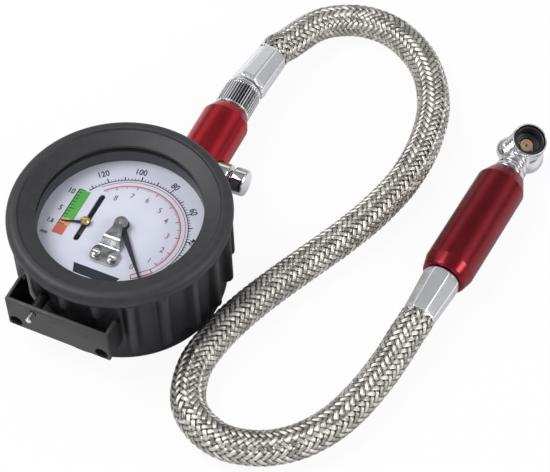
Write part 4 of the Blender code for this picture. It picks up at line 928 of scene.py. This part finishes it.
def make_boot():
    turns = np.arange(BOOT_STEPS) * math.tau / BOOT_STEPS
    ribs = boot_ribs()
    inner = [(34.3, 2.4), (34.3, 36.4), (29.6, 36.4), (29.6, 37.6), (35.2, 39.55), (35.45, 39.65)]
    lip = [(35.9, 40.4)]
    for step in range(13):
        turn = math.radians(90 - 7.5 * step)
        lip.append((36.9 + 3.1 * math.cos(turn), 37.5 + 2.9 * math.sin(turn)))
    lip += [(40.0, 36.6), (39.7, 35.7), (39.0, LIP_LOW)]
    foot = [(WALL_RADIUS, 5.8), (WALL_RADIUS, 1.2), (36.2, 0.0)]
    top = soften([(0.01, 2.4), *inner, *lip], 0.45)
    low = soften([*foot, (0.01, 0.0)], 0.4)
    levels = list(np.arange(LIP_LOW - 0.25, 28.0, -0.9)) + list(np.arange(28.0, 24.8, -0.2))
    levels += list(np.arange(24.6, 9.6, -1.0)) + list(np.arange(9.4, 6.4, -0.2))
    shapes = [([r] * BOOT_STEPS, z) for r, z in top]
    shapes += [(wall_radii(z, turns, ribs), z) for z in levels]
    shapes += [([r] * BOOT_STEPS, z) for r, z in low]
    rings = [
        [(r * math.cos(t), r * math.sin(t), z) for r, t in zip(radii, turns)] for radii, z in shapes
    ]
    mesh = grid_mesh("boot", rings, False)
    stem_hole = rod_mesh(STEM_HOLE_RADIUS, 20, 42, STEM)
    guide_hole = rod_mesh(GUIDE_HOLE_RADIUS, -42, -20, PIN)
    mesh = cut(mesh, box_mesh(*TRAY_WINDOW), stem_hole, guide_hole)
    dress("rubber_boot", mesh, RUBBER, None, 35)


# Adapter, knurled nut and bleed valve

def make_adapter():
    profile = [(0.01, 82.0), (4.6, 82.0), (4.6, 75.1), (7.1, 75.1), (9.3, 70.6), (9.3, 40.3), (8.7, 39.5),
               (3.8, 39.5), (3.8, 45.3), (0.01, 45.3)]
    mesh = lathe_mesh("adapter", soften(profile, 0.7), 144)
    mesh = cut(mesh, rod_mesh(5.3, 4.5, 13, VALVE_IN_STEM))
    dress("stem_adapter", mesh, RED, STEM, 35)


KNURL_LOW, KNURL_HIGH = 75.9, 86.2
FLUTES, FLUTE_DEPTH = 40, 0.6


def knurl_radius(radius, height, turn):
    """Sharp flutes between two plain bands."""
    if not KNURL_LOW < height < KNURL_HIGH or radius < 6.9:
        return radius
    share = (turn * FLUTES / math.tau) % 1.0
    top = min(1.0, max(0.0, (0.5 - abs(share - 0.5) - 0.12) / 0.22))
    ends = min(1.0, (height - KNURL_LOW) / 0.4, (KNURL_HIGH - height) / 0.4)
    return radius - FLUTE_DEPTH * (1 - top) * ends


def make_knurl_chrome():
    """Painted highlight on the flutes' crests and painted shade in the grooves, by the distance from the
    nut's axis.
    """
    material, tree, shader = new_material("knurl_chrome", (0.8, 0.8, 0.8), 0.12, 1.0)
    x, y, z = coordinates(tree)
    right = maths(tree, "SUBTRACT", x, STEM_X * MM)
    up = maths(tree, "SUBTRACT", z, STEM_Z * MM)
    # Painted light and shade across the flutes, from the distance to the nut's axis; beyond the knurl's top
    # end it stays bright.
    height = mapped(tree, axis_distance(tree, right, up), (6.62 * MM, 7.05 * MM))
    crest_painted_light = maths(tree, "MAXIMUM", height, maths(tree, "GREATER_THAN", y, KNURL_HIGH * MM))
    colour = ramp(tree, crest_painted_light, (0.05, 0.05, 0.055), (0.84, 0.84, 0.85), (0.0, 1.0))
    tree.links.new(colour, shader.inputs["Base Color"])
    roughen(tree, shader, noise_node(tree, 900, 3), 0.08, 0.2)
    return material


def make_nut():
    outer = [(3.5, 87.9), (6.3, 87.9), (6.7, 87.75), (6.9, 87.4), (6.85, 87.0), (6.6, 86.85), (6.6, 86.7),
             (6.95, 86.5), (7.15, 86.35)]
    outer += [(7.2, 86.15)] + [(7.2, 86.15 - 0.34 * step) for step in range(1, 31)]
    outer += [(7.15, 75.7), (6.8, 75.4), (4.9, 75.4), (4.9, 82.3), (3.5, 82.3)]
    mesh = lathe_mesh("hose_nut_piece", outer, 576, True, knurl_radius)
    dress("hose_nut", mesh, make_knurl_chrome(), STEM, 40)


def make_bleed_valve():
    bush = [(3.0, 13.3), (4.6, 13.3), (5.0, 12.9), (5.0, 4.8), (1.9, 4.8), (1.9, 9.6), (3.0, 9.6)]
    turned("bleed_valve_body", bush, CHROME, VALVE, 96, True, 0.2)
    button = [(0.01, 20.2), (3.9, 20.2), (4.6, 20.1), (4.95, 19.7), (5.0, 19.2), (5.0, 15.5), (4.8, 15.1),
              (1.6, 15.1), (1.6, 7.1), (0.01, 7.1)]
    turned("bleed_button", button, CHROME, VALVE, 128, False, 0.12)
    coil = []
    for index in range(241):
        turn = math.tau * index / 48
        coil.append((2.3 * math.cos(turn), 2.3 * math.sin(turn), 10.25 + 4.2 * index / 240))
    mesh = tube_mesh("bleed_spring_piece", np.array(coil), 0.28, 10)
    spring = dress("bleed_spring", mesh, STEEL, VALVE, 60)
    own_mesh(spring)


# Chuck

def by_handle(right, along, above):
    return HANDLE @ (Vector((above, right, along)) * MM)


def ball_mesh(name, radius, at):
    arc = [math.radians(90 - 180 * step / 48) for step in range(49)]
    profile = [(max(0.01, radius * math.cos(t)), radius * math.sin(t)) for t in arc]
    mesh = lathe_mesh(name, profile, 96)
    mesh.transform(Matrix.Translation(by_handle(*at)))
    return mesh


MOUTH_FACES, RINGS_FACE = (0.943, 0.266, -0.139), (0.862, 0.47, 0.189)
SOCKET_RADIUS, NECK_START = 5.98, 52.5


def make_chuck():
    at = by_handle(2.1, 66.7, 7.4) / MM
    mouth, stack = (
        aim(at, HANDLE.to_3x3() @ Vector(way), (1, 0, 0)) for way in (MOUTH_FACES, RINGS_FACE)
    )
    cup = [(5.95, -0.45), (5.98, -0.12), (6.12, 0.02), (6.36, 0.0), (6.5, -0.16), (6.55, -0.5), (6.5, -0.95),
           (6.2, -1.2), (6.15, -1.75)]
    for ring in range(4):
        low = -2.2 - 1.6 * ring
        cup += [(6.2, low + 0.25), (6.6, low), (6.72, low - 0.25), (6.72, low - 0.65), (6.55, low - 0.85),
                (6.1, low - 0.95)]
    cup += [(6.0, -8.5), (5.6, -9.3), (4.4, -10.2), (2.0, -10.8), (0.5, -10.8), (0.5, -7.2), (5.95, -7.2)]
    mesh = lathe_mesh("chuck_body_piece", soften(cup, 0.1, True, 3), 144, True)
    dress("chuck_body", mesh, CHROME, mouth, 50)
    balls = (("chuck_ball", 5.1, (-4.8, 65.2, -1.2)), ("chuck_elbow", 6.2, (1.8, 66.0, -2.6)))
    for name, radius, place in balls:
        ball = cut(ball_mesh(name, radius, place), rod_mesh(SOCKET_RADIUS, -7.4, 4, mouth))
        add_piece(name, ball, CHROME, "chuck", (), None, 50)
    neck = [(0.01, 10.5), (4.3, 10.5), (4.9, 9.6), (4.9, 7.9), (5.6, 7.6), (5.6, 6.2), (4.8, 5.9),
            (4.8, 5.3), (5.7, 5.0), (5.7, 3.6), (4.8, 3.3), (4.8, 2.7), (5.9, 2.4), (6.1, 1.6),
            (6.1, 0.4), (5.7, 0), (3.3, 0), (3.3, -6), (0.01, -6)]
    neck = [(radius, NECK_START + height) for radius, height in neck]
    collar = lathe_mesh("chuck_neck", soften(neck, 0.22), 96)
    collar = cut(collar, rod_mesh(SOCKET_RADIUS, -7.4, 4, HANDLE.inverted() @ mouth))
    add_piece("chuck_neck", collar, CHROME, "chuck", (), HANDLE, 50)
    rings = [(0.01, -2.9), (5.4, -2.9)]
    for ring in range(5):
        low = -3.0 - 1.35 * ring
        steps = ((5.5, 0.0), (6.0, 0.2), (6.1, 0.5), (6.0, 0.8), (5.5, 1.0), (5.4, 1.2))
        rings += [(radius, low - step) for radius, step in steps]
    rings += [(4.9, -9.9), (0.01, -9.9)]
    ringed = lathe_mesh("chuck_rings", rings, 120)
    ringed.transform(stack)
    ringed = cut(ringed, rod_mesh(SOCKET_RADIUS, -7.4, 4, mouth))
    add_piece("chuck_rings", ringed, CHROME, "chuck", (), None, 50)
    seal = [(5.3, -0.45), (5.62, -0.75), (5.65, -6.9), (3.0, -6.9), (3.0, -5.6), (4.75, -5.2), (4.95, -0.75)]
    turned("chuck_seal", seal, SEAL, mouth, 96, True, 0.25)
    core = [(0.01, -6.6), (0.5, -6.6), (0.55, -5.5), (0.75, -5.3), (1.2, -5.25), (1.35, -5.45), (1.75, -5.45),
            (1.9, -5.1), (2.3, -5.05), (2.55, -5.2), (2.6, -5.5), (2.6, -6.9), (0.01, -6.9)]
    turned("chuck_core", core, CORE_BRASS, mouth, 64, False, 0.06)


# Dial ring, lens and the slide's pin

def make_rings():
    level = Matrix.Identity(4)
    ring = [(29.9, 34.2), (32.7, 34.2), (32.7, 28.9), (29.9, 28.9)]
    turned("dial_ring", ring, RING, level, 240, True, 0.1)
    lens = [(0.01, 36.1), (32.7, 36.1), (32.7, 34.5), (0.01, 34.5)]
    turned("lens", lens, LENS, level, 240, False, 0.1)
    pin = [(0.01, 4.6), (1.1, 4.6), (1.1, 46.5), (0.8, 46.85), (0.01, 47.0)]
    profile = [(radius, -height) for radius, height in pin]
    turned("depth_pin", profile, CHROME, PIN, 48, False, 0.25)


# The stamped bridge over the pointer

def make_bridge():
    """The outline as a sheet that bends down from the eye to the screwed pad."""
    x_middle, bend, end = 0.5, -10.6, -17.2
    eye = [polar(2.4, -35 + 250 * step / 40) for step in range(41)]
    left = [(-1.95, -3.2), (-3.7, bend), (-4.6, bend - 0.9)]
    pad = [(-4.9, bend - 2.2), (-4.9, end + 2.4)]
    pad += [polar(2.4, 180 + 15 * step, (-2.5, end + 2.4)) for step in range(1, 7)]
    right = [(2 * x_middle - x, y) for x, y in reversed(pad)]
    right += [(5.6, bend - 0.9), (4.5, bend), (2.1, -3.2)]
    outline = eye + left + pad + right
    shape = bmesh.new()
    shape.faces.new([shape.verts.new((x * MM, y * MM, 0)) for x, y in outline])
    for index in range(60):
        y = -17.0 + index * 0.33
        geometry = list(shape.verts) + list(shape.edges) + list(shape.faces)
        bmesh.ops.bisect_plane(shape, geom=geometry, plane_co=(0, y * MM, 0), plane_no=(0, 1, 0), dist=1e-7)
    for vert in shape.verts:
        share = min(1.0, max(0.0, (vert.co.y / MM - (bend + 0.1)) / 3.6))
        share = share * share * (3 - 2 * share)
        vert.co.z = (29.25 + share * 2.4) * MM
    mesh = bpy.data.meshes.new("pointer_bridge_piece")
    shape.to_mesh(mesh)
    shape.free()
    piece = dress("pointer_bridge", mesh, BRIDGE_CHROME, None, 40)
    sheet = piece.modifiers.new("Sheet", "SOLIDIFY")
    sheet.thickness = 0.7 * MM
    sheet.offset = 0
    bevel_edges(piece, 0.16, 50)


SMALL = {
    "tread_gauge_housing": (PLASTIC, 0.3),
    "pressure_pointer": (NEEDLE, 0.08),
    "depth_needle": (NEEDLE, 0.06),
    "carriage_screw": (BRASS, 0.08),
    "depth_carriage": (AGED_BRASS, 0.1),
    "bridge_screw_left": (CHROME, 0.12),
    "bridge_screw_right": (CHROME, 0.12),
    "bleed_seal": (SEAL, 0.0),
    "gauge_case": (STEEL, 0.0),
    "dial_plate": (DIAL, 0.0),
    "socket_block": (BRASS, 0.0),
    "bourdon_tube": (BRONZE, 0.0),
    "tube_tip": (BRASS, 0.05),
    "movement_link": (STEEL, 0.05),
    "sector_gear": (BRASS, 0.0),
    "pinion_arbor": (STEEL, 0.0),
    "hairspring": (BRONZE, 0.0),
    "movement_back_plate": (BRASS, 0.0),
    "movement_front_plate": (BRASS, 0.0),
    **{f"front_plate_screw_{number}": (STEEL, 0.08) for number in (1, 2, 3)},
    **{f"back_plate_screw_{number}": (STEEL, 0.08) for number in (1, 2)},
}


# Lights, floor and background

def add_area(name, at, look, size, power, colour=(1, 1, 1)):
    data = bpy.data.lights.new(name, "AREA")
    data.shape = "RECTANGLE"
    data.size, data.size_y = size
    data.energy = power
    data.color = colour
    lamp = add_object(name, data)
    direction = (Vector(look) - Vector(at)).normalized()
    lamp.matrix_world = Matrix.Translation(at) @ direction.to_track_quat("-Z", "Y").to_matrix().to_4x4()


FLOOR_GLOW = 0.93


def add_stage():
    shape = bmesh.new()
    bmesh.ops.create_grid(shape, x_segments=1, y_segments=1, size=3.0)
    mesh = bpy.data.meshes.new("floor")
    shape.to_mesh(mesh)
    shape.free()
    floor = add_object("floor", mesh)
    material, tree, shader = new_material("floor", (0.86, 0.86, 0.87), 0.7)
    rays = tree.nodes.new("ShaderNodeLightPath")
    glow = tree.nodes.new("ShaderNodeEmission")
    glow.inputs["Strength"].default_value = 1.0
    mix = tree.nodes.new("ShaderNodeMixShader")
    share = maths(tree, "MULTIPLY", rays.outputs["Is Camera Ray"], FLOOR_GLOW)
    tree.links.new(share, mix.inputs["Fac"])
    tree.links.new(shader.outputs["BSDF"], mix.inputs[1])
    tree.links.new(glow.outputs["Emission"], mix.inputs[2])
    tree.links.new(mix.outputs["Shader"], tree.nodes["Material Output"].inputs["Surface"])
    mesh.materials.append(material)


def add_world():
    """White to the camera, and a studio with bright and dim parts to what reflects it."""
    world = bpy.data.worlds.new("studio")
    scene.world = world
    world.use_nodes = True
    tree = world.node_tree
    tree.nodes.clear()
    output = tree.nodes.new("ShaderNodeOutputWorld")
    height = coordinates(tree, "Generated")[2]
    levels = ((0.25, 0.12), (0.45, 0.9), (0.6, 0.95), (0.75, 0.18))
    stops = [(position, (level, level, level * 1.02)) for position, level in levels]
    studio = colour_ramp(
        tree, height, [(0.0, (0.75, 0.75, 0.77)), *stops, (0.95, (0.35, 0.35, 0.37))]
    )
    rays = tree.nodes.new("ShaderNodeLightPath")
    white = tree.nodes.new("ShaderNodeMix")
    white.data_type = "RGBA"
    white.inputs["B"].default_value = (1, 1, 1, 1)
    tree.links.new(rays.outputs["Is Camera Ray"], white.inputs["Factor"])
    tree.links.new(studio, white.inputs["A"])
    back = tree.nodes.new("ShaderNodeBackground")
    back.inputs["Strength"].default_value = 1.0
    tree.links.new(white.outputs["Result"], back.inputs["Color"])
    tree.links.new(back.outputs["Background"], output.inputs["Surface"])


add_camera()
make_hose()

make_boot()
make_adapter()
make_nut()
make_ferrule("hose_ferrule_gauge", aim(FERRULE_AT, FERRULE_WAY))
make_bleed_valve()
make_chuck()
make_rings()
make_bridge()
for node, (material, bevel) in SMALL.items():
    smooth_copy(node, material, bevel)
make_print()
add_area("key_light", (-0.45, -0.1, 0.8), (0.03, 0.03, 0), (0.5, 0.5), 5.5)
add_area("side_light", (0.9, 0.1, 0.5), (0.05, 0.03, 0), (0.5, 0.3), 3)
add_stage()
add_world()
scene.view_settings.view_transform = "Standard"
